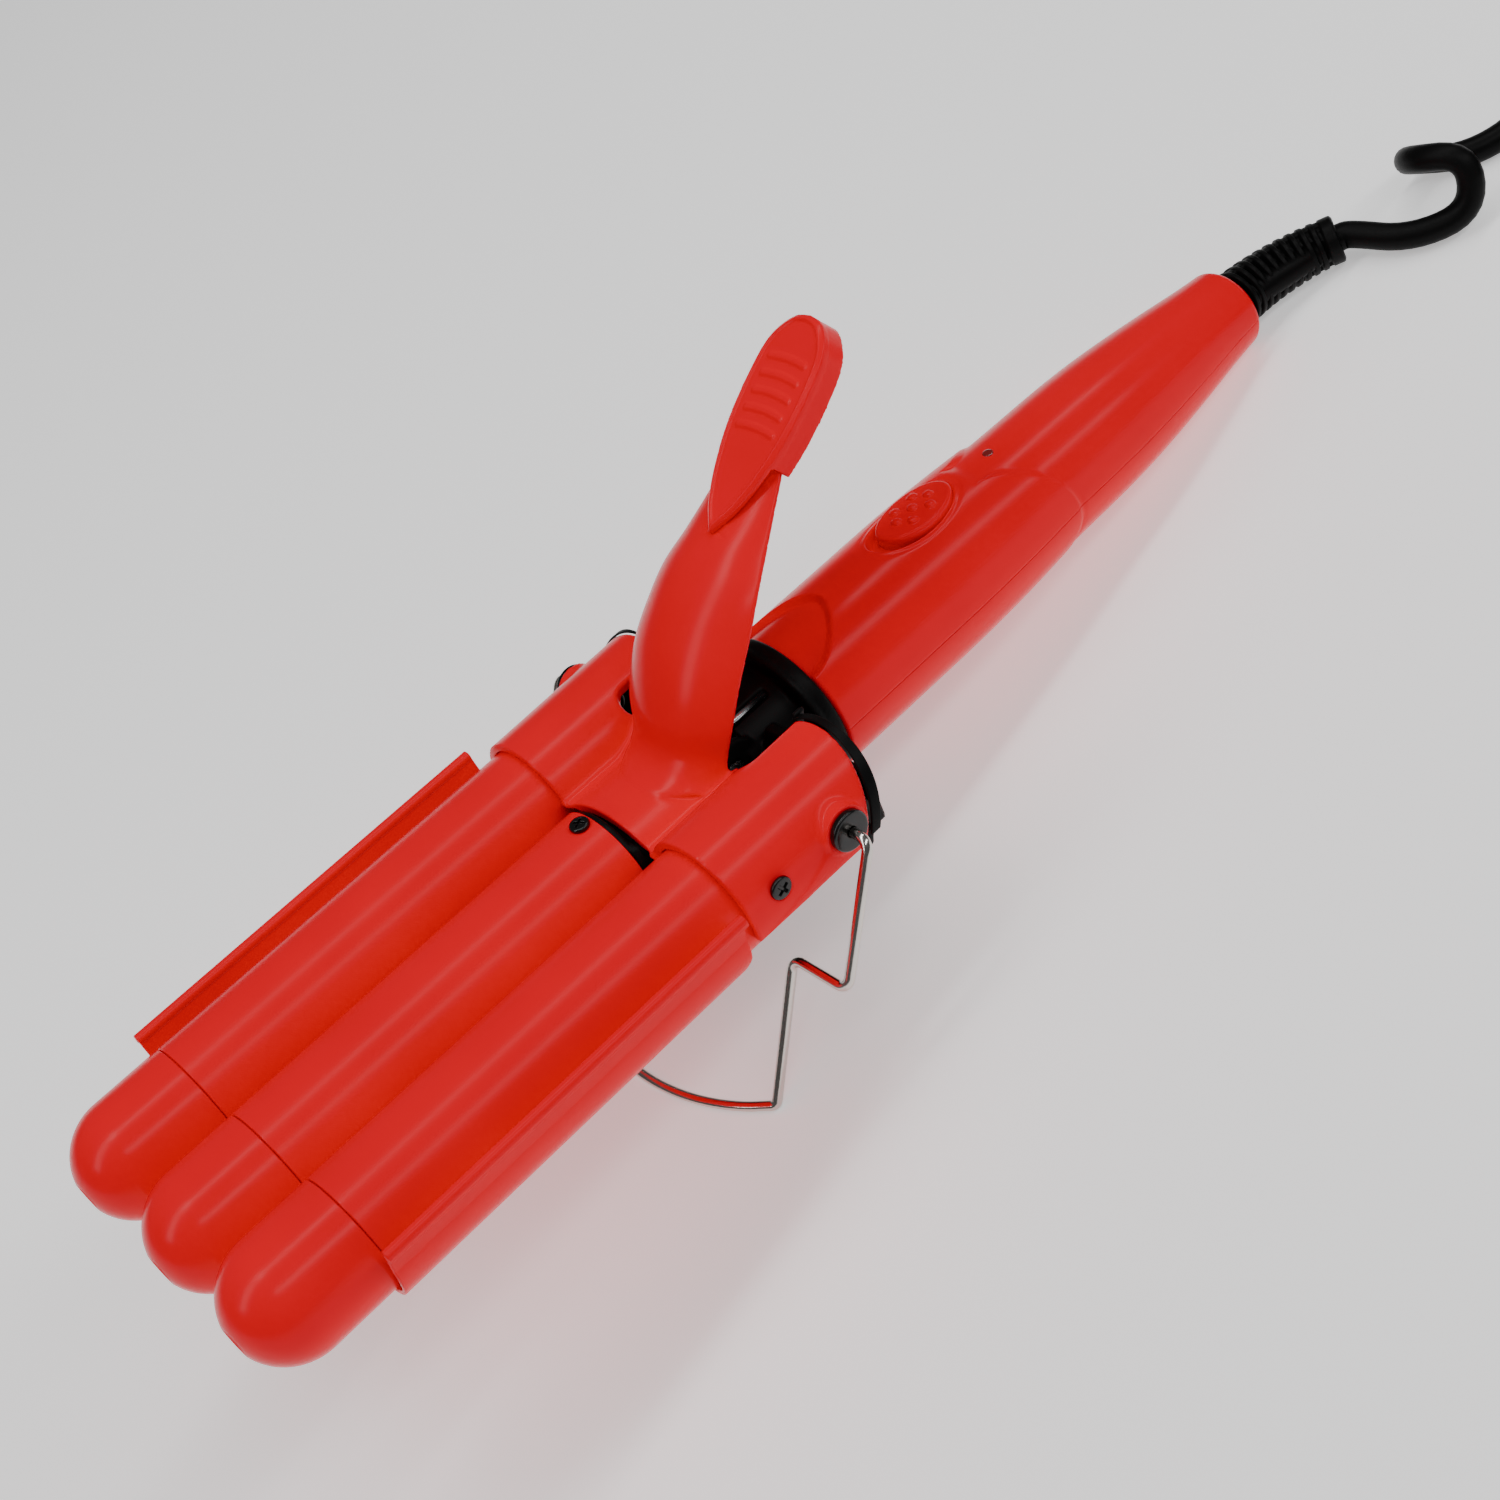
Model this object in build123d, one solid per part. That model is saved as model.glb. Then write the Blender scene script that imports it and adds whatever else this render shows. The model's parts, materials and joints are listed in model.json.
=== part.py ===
from build123d import *
import os
from math import asin, atan2, cos, degrees, hypot, pi, radians, sin, sqrt, tan

os.makedirs("parts", exist_ok=True)

# Hair waver with three heated barrels, a sprung clamp, a slide switch, a wire stand and a mains lead.
# Lengths are millimetres. Every piece is first drawn lying level: X runs from the barrels' seams
# back to the handle, Y across the barrels, Z up, with the outer barrels' axes at Z = 0. At the end
# the whole waver is tipped up to stand on its wire foot and on the tail of its handle.

# ---- driving dimensions ----
# barrels and end caps
barrel_radius = 12.5
barrel_wall = 0.8
barrel_gap = 2.0
centre_drop = 1.0
seam_gap = 0.2
cap_straight = 15.5
cap_wall = 1.8
cap_spigot = 9.0
dimple_radius = 3.75
dimple_depth = 1.0
slip = 0.1                      # radial clearance of a piece slid into a tube
outer_barrel_rear = 104.0
centre_barrel_rear = 86.5

# heaters
heater_start = 12.0
heater_length = 50.0
heater_width = 13.0
heater_thickness = 4.0
spreader_bore = 7.0
contact_gap = 0.05

# clamp cover: sleeves, bridge and lever
sleeve_front = 89.0
sleeve_radius = 14.4
sleeve_flare = 0.5
sleeve_bore = 12.7
sleeve_edge_z = -3.5            # lower edge of the outer wall
web_edge_z = 5.0                # lower edge of the inner wall, where the bridge joins
rear_edge_x = 119.25            # rear edge of the sleeves at Z = 0
rear_slope = 0.425              # how far that edge leans back per millimetre of height
bridge_front = 89.5
bridge_rear = 106.0
bridge_top_z = 9.6
bridge_radius = 22.4
shell_wall = 2.2
slot_front = 111.0
slot_inner = 14.7
slot_outer = 21.0
lever_stations = [              # crest X, crest Z, edge X, edge Z, half width
    (99.0, 9.7, 109.5, 5.6, 13.6),
    (104.6, 12.9, 112.0, 11.6, 14.6),
    (107.6, 20.0, 114.6, 17.4, 16.0),
    (113.4, 28.6, 119.9, 25.0, 16.3),
    (120.4, 35.4, 126.0, 31.2, 15.6),
    (127.0, 40.2, 131.4, 36.2, 14.4),
    (133.4, 44.4, 137.4, 41.0, 12.2),
    (140.6, 48.2, 143.8, 46.2, 10.2),
    (148.7, 52.8, 150.7, 51.5, 8.4),
]

# thumb pad
pad_tip = (134.7, 45.9)         # X, Z of the lower tip of its face
pad_angle = 31.9                # slope of its face, degrees
pad_outline = [(0.0, 0.0), (6.0, 3.9), (12.0, 6.2), (20.0, 8.0), (28.0, 8.6), (36.0, 8.3), (42.0, 6.3)]
pad_length = 45.5
pad_plate = 1.6
pad_wall = 1.5
pad_skirt = 6.2
pad_skirt_start = 16.0
pad_rib_count = 5
pad_rib_pitch = 3.6

# clamp hinge, its screws and its spring
hinge_x = 114.5
hinge_z = 4.0
running_gap = 0.05
ear_outer = 36.8
ear_inner = 34.4
ear_radius = 3.4
ear_boss_inner = 29.0
boss_face = 41.9                # flat face of the boss on each sleeve
boss_radius = 4.9
pivot_head_radius = 4.3
pivot_head_height = 1.6
pivot_shank = 2.3
pivot_thread = 1.6
cheek_outer = 10.1
cheek_inner = 8.6
cheek_radius = 6.6
spring_pin_radius = 2.0
spring_wire = 0.7               # wire radius
spring_coil_radius = 3.6
leg_y = 5.0
leg_z = 9.6
leg_end_x = 129.5

# pivot frame
frame_bottom = -17.4
spigot_front = 76.0
spigot_bore = 8.0
neck_radius = 13.0
neck_bore = 10.8
neck_front = 118.0
collar_radius = 17.2
collar_front = 132.6
collar_length = 4.4
insert_length = 14.0
insert_wall = 1.8
hoop_gap = 0.4
hoop_wall = 1.2
hoop_length = 2.6
base_wall = 2.2

# jaw plate
plate_thickness = 1.0
plate_gap = 0.9                 # hair gap round the outer barrels
centre_plate_gap = 0.3
plate_front = -1.0
plate_rear = 86.5
tongue_rear = 104.0
tongue_half = 29.0
ridge_roll = 0.87
lip_top_z = 7.2
lip_y = 43.0
lip_roll = 0.75

# handle
handle_axis_z = -2.1
handle_front = 137.3
handle_front_radius = 17.0
handle_wall = 2.0
handle_mouth_wall = 4.6
tail_x = 279.2
tail_radius = 9.7
tail_round = 1.8
tail_hole = 6.2
step_x = 211.0                  # rearmost point of the step, on the handle's sides
step_radius = 15.6
pocket_length = 16.0
pocket_depth = 1.3

# switch, indicator and electronics
switch_x = 181.0
switch_half_length = 10.0
switch_half_width = 6.0
switch_travel = 3.0
switch_gap = 0.5
switch_proud = 1.0
bump_radius = 1.0
bump_pitch = 2.7
lens_x = 203.5
lens_radius = 1.2
board_start = 157.0
board_length = 58.0
board_width = 20.0
board_thickness = 1.6
board_z = -4.0

# strain relief
relief_length = 30.5
relief_bend_radius = 39.0
relief_lift = 12.6              # degrees by which its bend rises out of the level plane
relief_base_radius = 6.2
relief_end_radius = 4.9
relief_core = 3.9
relief_rib_count = 11
relief_collar = 3.4

# wire stand
bail_wire = 1.1                 # wire radius
bail_y = 48.0
bail_kick = (97.8, -22.3)       # X, Z of the inward kick
bail_kick_y = 32.3
bail_foot = (80.7, -50.5)       # X, Z of the foot's corners
bail_bow = 10.0
bail_stop_back = 98.0           # degrees of swing from the stand's stop to folded under the handle
key_reach = 2.3
key_width = 0.8
key_depth = 0.9

# mains lead
cord_radius = 3.1
coil_centre = (383.0, -67.0)    # X from the seams when stood up, Y
coil_middle = 35.0              # radius of the coil's middle turn
coil_floor = 0.8                # the tie's thickness under the coil
coil_turns = 7
lead_points = [                 # corners of the lead from the strain relief to the coil, stood up
    (306.6, -25.0, 3.9), (317.6, -34.4, 4.2), (323.2, -32.4, 15.6), (318.4, -19.6, 15.2), (326.6, -11.4, 5.0),
    (332.6, -22.8, 3.2), (346.0, -29.5, 3.2), (362.0, -25.0, 3.4), (384.0, -26.0, 4.0),
]
plug_points = [                 # corners of the lead from the coil's top to the plug, stood up
    (424.2, -53.0, 15.8), (424.2, -79.0, 17.6), (407.2, -96.0, 19.52), (377.2, -96.0, 19.52),
]
plug_pin_radius = 2.0
plug_pin_length = 19.0
plug_pin_spacing = 18.6
plug_pin_root = 6.0
plug_length = 36.0
plug_width = 35.0
plug_height = 13.7
plug_relief = 18.0

# derived sizes used by more than one piece
outer_y = 2 * barrel_radius + barrel_gap
barrel_bore = barrel_radius - barrel_wall
trough_radius = barrel_radius + plate_gap
pieces = {}


# ---- shapes ----
def rod_x(radius, start, end, y=0.0, z=0.0):
    return Pos((start + end) / 2, y, z) * Rot(0, 90, 0) * Cylinder(radius, end - start)


def rod_y(radius, start, end, x=0.0, z=0.0):
    return Pos(x, (start + end) / 2, z) * Rot(90, 0, 0) * Cylinder(radius, end - start)


def rod_z(radius, start, end, x=0.0, y=0.0):
    return Pos(x, y, (start + end) / 2) * Cylinder(radius, end - start)


def block(x0, x1, y0, y1, z0, z1):
    return Pos((x0 + x1) / 2, (y0 + y1) / 2, (z0 + z1) / 2) * Box(x1 - x0, y1 - y0, z1 - z0)


def mirrored(shape):
    return mirror(shape, about=Plane.XZ)


def side_prism(points, y0, y1):
    """A polygon of (X, Z) points, extruded from Y = y0 to y1."""
    face = make_face(Polyline(*[(x, y0, z) for x, z in points], close=True))
    return extrude(face, amount=y1 - y0, dir=(0, 1, 0))


def cross_prism(points, x0, x1):
    """A polygon of (Y, Z) points, extruded from X = x0 to x1."""
    face = make_face(Polyline(*[(x0, y, z) for y, z in points], close=True))
    return extrude(face, amount=x1 - x0, dir=(1, 0, 0))


def turned_x(edges, y, z):
    """Edges drawn in the plane through the axis (Y = y, Z = z), closed and turned round that axis."""
    return revolve(make_face(edges), axis=Axis((0, y, z), (1, 0, 0)))


def wire_along(path, radius):
    """A round wire swept along a path."""
    start = Plane(origin=path @ 0, z_dir=path % 0)
    return sweep(start * Circle(radius), path=path)


def screw(point, direction, head_radius, head_height, shank_radius, length):
    """A screw with a cross recess: its head sits outside `point`, its shank runs along `direction`."""
    head = Pos(0, 0, -head_height / 2) * Cylinder(head_radius, head_height)
    shank = Pos(0, 0, length / 2) * Cylinder(shank_radius, length)
    recess_width = head_radius * 0.28
    recess_depth = head_height * 0.5
    recess = Box(head_radius * 1.2, recess_width, recess_depth)
    recess += Rot(0, 0, 90) * recess
    body = head + shank - Pos(0, 0, -head_height + recess_depth / 2) * recess
    return Plane(origin=point, z_dir=direction) * body


# ---- barrels with their caps, heaters and spreaders ----
def barrel(y, z, rear):
    return rod_x(barrel_radius, 0, rear, y, z) - rod_x(barrel_bore, -1, rear + 1, y, z)


def end_cap(y, z):
    """Straight collar, domed tip with a shallow dimple, and a spigot that slides into the barrel."""
    outside = barrel_radius
    spigot = barrel_bore - slip
    inside = spigot - cap_wall
    edge_angle = asin(dimple_radius / outside)
    edge_x = -cap_straight - outside * cos(edge_angle)
    bowl_radius = (dimple_radius ** 2 + dimple_depth ** 2) / (2 * dimple_depth)
    bowl_x = edge_x + dimple_depth - bowl_radius
    bowl_angle = asin(dimple_radius / bowl_radius) / 2
    middle = (pi / 2 + edge_angle) / 2

    def at(x, radius):
        return (x, y, z + radius)

    dome = ThreePointArc(at(-cap_straight, outside),
                         at(-cap_straight - outside * cos(middle), outside * sin(middle)),
                         at(edge_x, dimple_radius))
    bowl = ThreePointArc(at(edge_x, dimple_radius),
                         at(bowl_x + bowl_radius * cos(bowl_angle), bowl_radius * sin(bowl_angle)),
                         at(bowl_x + bowl_radius, 0))
    hollow = ThreePointArc(at(-cap_straight - inside, 0),
                           at(-cap_straight - inside * cos(pi / 4), inside * sin(pi / 4)),
                           at(-cap_straight, inside))
    edges = [Polyline(at(cap_spigot, spigot), at(-seam_gap, spigot), at(-seam_gap, outside),
                      at(-cap_straight, outside)),
             dome, bowl, Line(bowl @ 1, hollow @ 0), hollow,
             Polyline(hollow @ 1, at(cap_spigot, inside), at(cap_spigot, spigot))]
    return turned_x(edges, y, z)


def heater(y, z):
    half_width = heater_width / 2
    half_thickness = heater_thickness / 2
    return block(heater_start, heater_start + heater_length, y - half_width, y + half_width,
                 z - half_thickness, z + half_thickness)


def spreaders(y, z):
    """Two half-round aluminium blocks that press the heater's faces and the barrel's bore."""
    radius = barrel_bore - contact_gap
    split = heater_thickness / 2 + contact_gap
    whole = rod_x(radius, heater_start, heater_start + heater_length, y, z)
    whole -= block(heater_start - 1, heater_start + heater_length + 1,
                   y - radius, y + radius, z - split, z + split)
    groove_offset = barrel_bore - spreader_bore / 2 - 2.2
    for side in (-1, 1):
        whole -= rod_x(spreader_bore / 2, heater_start - 1, heater_start + heater_length + 1,
                       y, z + side * groove_offset)
    return whole


for side, name in ((1, "left"), (-1, "right")):
    pieces[name + "_barrel"] = barrel(side * outer_y, 0, outer_barrel_rear)
    pieces[name + "_end_cap"] = end_cap(side * outer_y, 0)
    pieces[name + "_heater"] = heater(side * outer_y, 0)
    pieces[name + "_heat_spreaders"] = spreaders(side * outer_y, 0)
pieces["centre_barrel"] = barrel(0, -centre_drop, centre_barrel_rear)
pieces["centre_end_cap"] = end_cap(0, -centre_drop)
pieces["centre_heater"] = heater(0, -centre_drop)
pieces["centre_heat_spreaders"] = spreaders(0, -centre_drop)

# screw of the centre barrel, through its top into the frame's spigot
centre_screw_x = 83.9
centre_screw_seat = barrel_radius - centre_drop
centre_screw = screw((centre_screw_x, 0, centre_screw_seat), (0, 0, -1), 2.1, 1.0, 1.2, 4.0)
pieces["centre_barrel_screw"] = centre_screw
centre_screw_hole = rod_z(1.2, 0, centre_screw_seat + 1, centre_screw_x, 0)
pieces["centre_barrel"] -= centre_screw_hole

# ---- outer barrels' holders and the sleeve screws ----
holder_front = outer_barrel_rear - 12.0
holder_flange = 3.0
holder_room = outer_barrel_rear + holder_flange + 1.4
sleeve_screw_x = outer_barrel_rear - 6.7
sleeve_screw_z = 3.8
sleeve_screw_seat = outer_y + sqrt(sleeve_radius ** 2 - sleeve_screw_z ** 2)
sleeve_screw_length = 9.0


def barrel_holder(y):
    """Heat-resistant plug in the barrel's rear end, with a flange behind it and a hole for wires."""
    plug = rod_x(barrel_bore - slip, holder_front, outer_barrel_rear, y)
    flange = rod_x(sleeve_bore - slip, outer_barrel_rear, outer_barrel_rear + holder_flange, y)
    return plug + flange - rod_x(spigot_bore / 2, holder_front - 1, outer_barrel_rear + holder_flange + 1, y)


sleeve_screw = screw((sleeve_screw_x, sleeve_screw_seat, sleeve_screw_z), (0, -1, 0), 2.4, 1.0, 1.3,
                     sleeve_screw_length)
sleeve_screw_hole = rod_y(1.3, outer_y + 4, sleeve_screw_seat + 2, sleeve_screw_x, sleeve_screw_z)
sleeve_screw_hole += rod_y(2.4, sleeve_screw_seat, sleeve_screw_seat + 2, sleeve_screw_x, sleeve_screw_z)
for side, name in ((1, "left"), (-1, "right")):
    hole = sleeve_screw_hole if side > 0 else mirrored(sleeve_screw_hole)
    pieces[name + "_barrel_holder"] = barrel_holder(side * outer_y) - hole
    pieces[name + "_barrel"] -= hole
pieces["sleeve_screws"] = Compound(children=[sleeve_screw, mirrored(sleeve_screw)])


# ---- clamp cover ----
def rear_edge(z):
    return rear_edge_x + rear_slope * z


def lever_section(crest_x, crest_z, edge_x, edge_z, half_width):
    """A crescent: an arc from edge over crest to edge, and a second arc one wall inside it."""
    depth = hypot(crest_x - edge_x, crest_z - edge_z)
    inward_x = (edge_x - crest_x) / depth * shell_wall
    inward_z = (edge_z - crest_z) / depth * shell_wall
    inner_half = half_width - shell_wall
    outer = ThreePointArc((edge_x, half_width, edge_z), (crest_x, 0, crest_z), (edge_x, -half_width, edge_z))
    inner = ThreePointArc((edge_x, -inner_half, edge_z), (crest_x + inward_x, 0, crest_z + inward_z),
                          (edge_x, inner_half, edge_z))
    return make_face([outer, Line(outer @ 1, inner @ 0), inner, Line(inner @ 1, outer @ 0)])


def sleeve():
    """Left sleeve: a flared tube open below, leaning back at its rear edge, with the pivot's boss."""
    rear = rear_edge(sleeve_radius) + 1
    middle = (sleeve_front + rear) / 2
    body = Pos(middle, outer_y, 0) * Rot(0, 90, 0) * Cone(sleeve_radius, sleeve_radius + sleeve_flare,
                                                         rear - sleeve_front)
    boss = rod_y(boss_radius, outer_y + sleeve_bore - 2, boss_face, hinge_x, hinge_z)
    body += boss
    body -= rod_x(sleeve_bore, sleeve_front - 1, rear + 1, outer_y)
    body -= block(sleeve_front - 1, rear + 1, outer_y, outer_y + 30, -30, sleeve_edge_z)
    body -= block(sleeve_front - 1, rear + 1, outer_y - 30, outer_y, -30, web_edge_z)
    body -= side_prism([(rear_edge(-30), -30), (rear_edge(-30) + 60, -30), (rear_edge(40) + 60, 40),
                        (rear_edge(40), 40)], outer_y - 30, outer_y + 30)
    return body


def slot():
    """Gap between the lever's root and the left sleeve, round at its front end and open behind."""
    radius = (slot_outer - slot_inner) / 2
    middle = (slot_outer + slot_inner) / 2
    top = 40.0
    return (rod_z(radius, -5, top, slot_front + radius, middle)
            + block(slot_front + radius, 140, slot_inner, slot_outer, -5, top))


left_sleeve = sleeve()
bridge_centre_z = bridge_top_z - bridge_radius
bridge = rod_x(bridge_radius, bridge_front, bridge_rear, 0, bridge_centre_z)
bridge -= rod_x(bridge_radius - shell_wall, bridge_front - 1, bridge_rear + 1, 0, bridge_centre_z)
bridge_half = outer_y - sqrt(sleeve_radius ** 2 - web_edge_z ** 2) + 0.6
bridge &= block(bridge_front, bridge_rear, -bridge_half, bridge_half, 0, 30)
root_web = block(bridge_rear - 1, slot_front + 1, slot_inner - 2.4, slot_outer - 4, web_edge_z + 1, 13.0)
root_web -= rod_x(sleeve_bore, bridge_rear - 2, slot_front + 2, outer_y)
root_web &= rod_x(sleeve_radius, bridge_rear - 2, slot_front + 2, outer_y)
sleeves_part = left_sleeve + root_web
sleeves_part -= slot() + block(slot_front + 3.2, 140, 0, slot_outer - 0.5, -5, 40)
lever = loft([lever_section(*station) for station in lever_stations])
pivot_hole = rod_y(pivot_shank + running_gap, -60, 60, hinge_x, hinge_z)
clamp_cover = sleeves_part + mirrored(sleeves_part) + bridge + lever
clamp_cover -= pivot_hole & (block(100, 130, 33, 60, -10, 20) + block(100, 130, -60, -33, -10, 20))
clamp_cover -= sleeve_screw_hole + mirrored(sleeve_screw_hole)
pieces["clamp_cover"] = clamp_cover


# ---- thumb pad ----
def on_pad(along, across, out=0.0):
    """Point of the pad: distance along its face from the tip, across it, and out of it."""
    a = radians(pad_angle)
    return (pad_tip[0] + along * cos(a) - out * sin(a), across, pad_tip[1] + along * sin(a) + out * cos(a))


def pad_blank(inset, top, bottom):
    """The pad's outline, pointed below and round above, `inset` smaller, from `top` to `bottom`."""
    widest = max(half for _, half in pad_outline)
    along_scale = (pad_length - 2 * inset) / pad_length
    across_scale = (widest - inset) / widest
    right = [on_pad(inset + s * along_scale, -half * across_scale, top) for s, half in pad_outline]
    left = [(x, -y, z) for x, y, z in right]
    upper = on_pad(pad_length - inset, 0, top)
    outline = [ThreePointArc(right[-1], upper, left[-1])]
    for index in range(0, len(pad_outline) - 1, 2):
        outline.append(ThreePointArc(*right[index:index + 3]))
        outline.append(ThreePointArc(*left[index:index + 3]))
    inward = Vector(*on_pad(0, 0, 0)) - Vector(*on_pad(0, 0, 1))
    return extrude(make_face(outline), amount=top - bottom, dir=inward)


def pad_box(s0, s1, top, bottom, half):
    """A block in the pad's own directions."""
    centre = on_pad((s0 + s1) / 2, 0, (top + bottom) / 2)
    return Pos(*centre) * Rot(0, -pad_angle, 0) * Box(s1 - s0, 2 * half, top - bottom)


thumb_pad = pad_blank(0, 0, -pad_skirt)
thumb_pad -= pad_blank(pad_wall, -pad_plate, -pad_skirt - 1)
thumb_pad -= pad_box(-5, pad_skirt_start, -pad_plate, -pad_skirt - 2, 20)
rib_start = 22.0
for index in range(pad_rib_count):
    position = rib_start + index * pad_rib_pitch
    thumb_pad += pad_box(position - 0.6, position + 0.6, 0.35, -0.5, 5.2)
pieces["thumb_pad"] = thumb_pad
pieces["clamp_cover"] -= pad_box(-4, 24, 8, -pad_plate, 16)

# ---- pivot frame ----
shoulder_rear = centre_barrel_rear + 9.5
frame = rod_x(barrel_bore - slip, spigot_front, centre_barrel_rear + 1, 0, -centre_drop)
frame += rod_x(barrel_radius - 0.2, centre_barrel_rear + 0.2, shoulder_rear, 0, -centre_drop)
frame -= block(centre_barrel_rear, shoulder_rear + 4, -30, 30, 6.6, 30)
under_bridge = rod_x(bridge_radius - shell_wall - 0.4, spigot_front, shoulder_rear + 4, 0, bridge_centre_z)
frame -= block(bridge_front - 0.8, shoulder_rear + 3, -30, 30, 0, 30) - under_bridge
frame += block(90, collar_front, -11, 11, frame_bottom, 1.5)
floor_profile = [(-tongue_half - 0.5, -13.4), (-tongue_half - 0.5, -14.6), (-25.5, frame_bottom),
                 (25.5, frame_bottom), (tongue_half + 0.5, -14.6), (tongue_half + 0.5, -13.4)]
frame += cross_prism(floor_profile, 90, 109)
base_outer = [(-ear_outer, 1.0), (-ear_outer, -7.0), (-33.2, -10.5), (-29.5, -14.0), (-25.5, frame_bottom),
              (25.5, frame_bottom), (29.5, -14.0), (33.2, -10.5), (ear_outer, -7.0), (ear_outer, 1.0)]
base_floor = frame_bottom + base_wall
base_inner = [(-ear_inner, 2.0), (-ear_inner, -6.2), (-31.2, -9.6), (-28.0, -12.8), (-24.6, base_floor),
              (24.6, base_floor), (28.0, -12.8), (31.2, -9.6), (ear_inner, -6.2), (ear_inner, 2.0)]
base_front = holder_room + 0.1
base_rear = 130.0
base_side_rear = 124.0          # where its sides end, inside the hoops' outline
base_side_y = 31.0


def base_block(outline, start, inset):
    """The base's outline from `start` to its rear, narrower behind its sides, `inset` smaller."""
    side_y = base_side_y - inset
    behind = block(base_side_rear - inset, base_rear + 1, side_y, 60, -30, 20)
    return cross_prism(outline, start, base_rear - inset) - behind - mirrored(behind)


base = base_block(base_outer, base_front, 0) - base_block(base_inner, base_front + 2.0, base_wall)
front_corner = block(100, base_front + 2.5, 11, 60, -6.5, 20)
base -= front_corner + mirrored(front_corner)
frame += base
plate_seat = trough_radius + plate_thickness
for side in (-1, 1):
    frame -= rod_x(plate_seat, spigot_front, tongue_rear + 0.3, side * outer_y)
    frame -= rod_x(trough_radius, spigot_front, holder_room, side * outer_y)
ear = rod_y(ear_radius, ear_inner - 1, ear_outer, hinge_x, hinge_z)
ear += block(hinge_x - ear_radius, hinge_x + ear_radius, ear_inner, ear_outer, 0, hinge_z)
ear += rod_y(ear_radius - 0.4, ear_boss_inner, ear_inner + 0.5, hinge_x, hinge_z)
ear += block(hinge_x - 1.2, hinge_x + 1.2, ear_boss_inner, ear_inner + 0.5, -9, hinge_z)
frame += ear + mirrored(ear)
cheek = rod_y(cheek_radius, cheek_inner, cheek_outer, hinge_x, hinge_z)
cheek += block(hinge_x - cheek_radius, neck_front + 2, cheek_inner, cheek_outer, -8, hinge_z)
frame += rod_x(neck_radius, neck_front, collar_front + 1, 0, handle_axis_z)
frame += cheek + mirrored(cheek)
frame += rod_x(collar_radius, collar_front, collar_front + collar_length, 0, handle_axis_z)
insert_radius = handle_front_radius - handle_mouth_wall - slip
insert_end = collar_front + collar_length + insert_length
frame += rod_x(insert_radius, collar_front + 1, insert_end, 0, handle_axis_z)


def hoop():
    """Left hoop behind a sleeve: a slanted slab with a round window the sleeve swings through."""
    gap = 0.3

    def face_x(z):
        return rear_edge(z) + gap
    low = -13.0
    high = 18.0
    slab = side_prism([(face_x(low), low), (face_x(low) + hoop_length, low),
                       (face_x(high) + hoop_length, high), (face_x(high), high)], 11, 44)
    window = sleeve_radius + sleeve_flare + hoop_gap
    outline = rod_x(window + hoop_wall, 100, 140, outer_y) & block(100, 140, 19.4, 60, -2, 40)
    outline += block(100, 140, 11, 20.6, low, 8.5)
    outline += block(100, 140, ear_inner, outer_y + window - 1.8, -6, -1.6)
    outline += block(100, 140, 19.4, 20.6, 0, 14.5)
    opening = rod_x(window, 99, 141, outer_y) & block(99, 141, 20.6, 60, -1.6, 40)
    return (slab & outline) - opening


frame += hoop() + mirrored(hoop())
frame -= rod_x(neck_bore, neck_front + 2.2, insert_end + 1, 0, handle_axis_z) & block(
    neck_front, insert_end + 2, -20, 20, -11, 20)
frame -= rod_x(insert_radius - insert_wall, collar_front, insert_end + 1, 0, handle_axis_z)
frame -= rod_y(spring_coil_radius + spring_wire + 1.6, -cheek_inner, cheek_inner, hinge_x, hinge_z)
frame -= block(hinge_x - 8, neck_front + 1, -cheek_inner, cheek_inner, hinge_z - 4.5, 20)
frame -= rod_x(spigot_bore / 2, spigot_front - 1, 134, 0, -8)
frame -= rod_y(spring_pin_radius, -cheek_outer - 1, cheek_outer + 1, hinge_x, hinge_z)
leg_groove = block(neck_front - 1, leg_end_x + 0.6, leg_y - 1, leg_y + 1, leg_z - spring_wire - 0.05, 12)
leg_groove += block(neck_front - 1, neck_front + 3.5, leg_y - 1, leg_y + 1, 6.5, 12)
frame -= leg_groove + mirrored(leg_groove)
thread_hole = rod_y(pivot_thread, ear_boss_inner - 1, ear_outer + 1, hinge_x, hinge_z)
frame -= thread_hole + mirrored(thread_hole)
frame -= centre_screw_hole & rod_z(3, 7.5, 12, centre_screw_x, 0)
pieces["pivot_frame"] = frame

# ---- pivot screws, spring pin and return spring ----
bail_hole_radius = bail_wire + running_gap
bail_pin_inner = 38.0
leg_angle = degrees(atan2(bail_kick[1] - hinge_z, bail_kick[0] - hinge_x))


def pivot_screw():
    """Left pivot screw: shoulder in the sleeve's boss, thread in the ear, bore and keyway for the stand."""
    outer_face = boss_face + running_gap + pivot_head_height
    body = rod_y(pivot_head_radius, boss_face + running_gap, outer_face, hinge_x, hinge_z)
    body += rod_y(pivot_shank, ear_outer, boss_face + running_gap, hinge_x, hinge_z)
    body += rod_y(pivot_thread, ear_boss_inner + 0.5, ear_outer, hinge_x, hinge_z)
    body -= rod_y(bail_hole_radius, bail_pin_inner - 0.5, outer_face + 1, hinge_x, hinge_z)
    keyway = rod_y(key_reach + 0.15, outer_face - key_depth - 0.2, outer_face + 0.1, hinge_x, hinge_z)
    for land_direction in (leg_angle - 90, leg_angle + bail_stop_back + 90):
        land = Pos(key_width / 2 + running_gap + 3, 0, 0) * Box(6, 6, 6)
        keyway -= Pos(hinge_x, outer_face, hinge_z) * Rot(0, -land_direction, 0) * land
    return body - keyway, outer_face


left_pivot_screw, pivot_outer_face = pivot_screw()
pieces["pivot_screws"] = Compound(children=[left_pivot_screw, mirrored(left_pivot_screw)])
pieces["spring_pin"] = rod_y(spring_pin_radius, -cheek_outer, cheek_outer, hinge_x, hinge_z)


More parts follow.
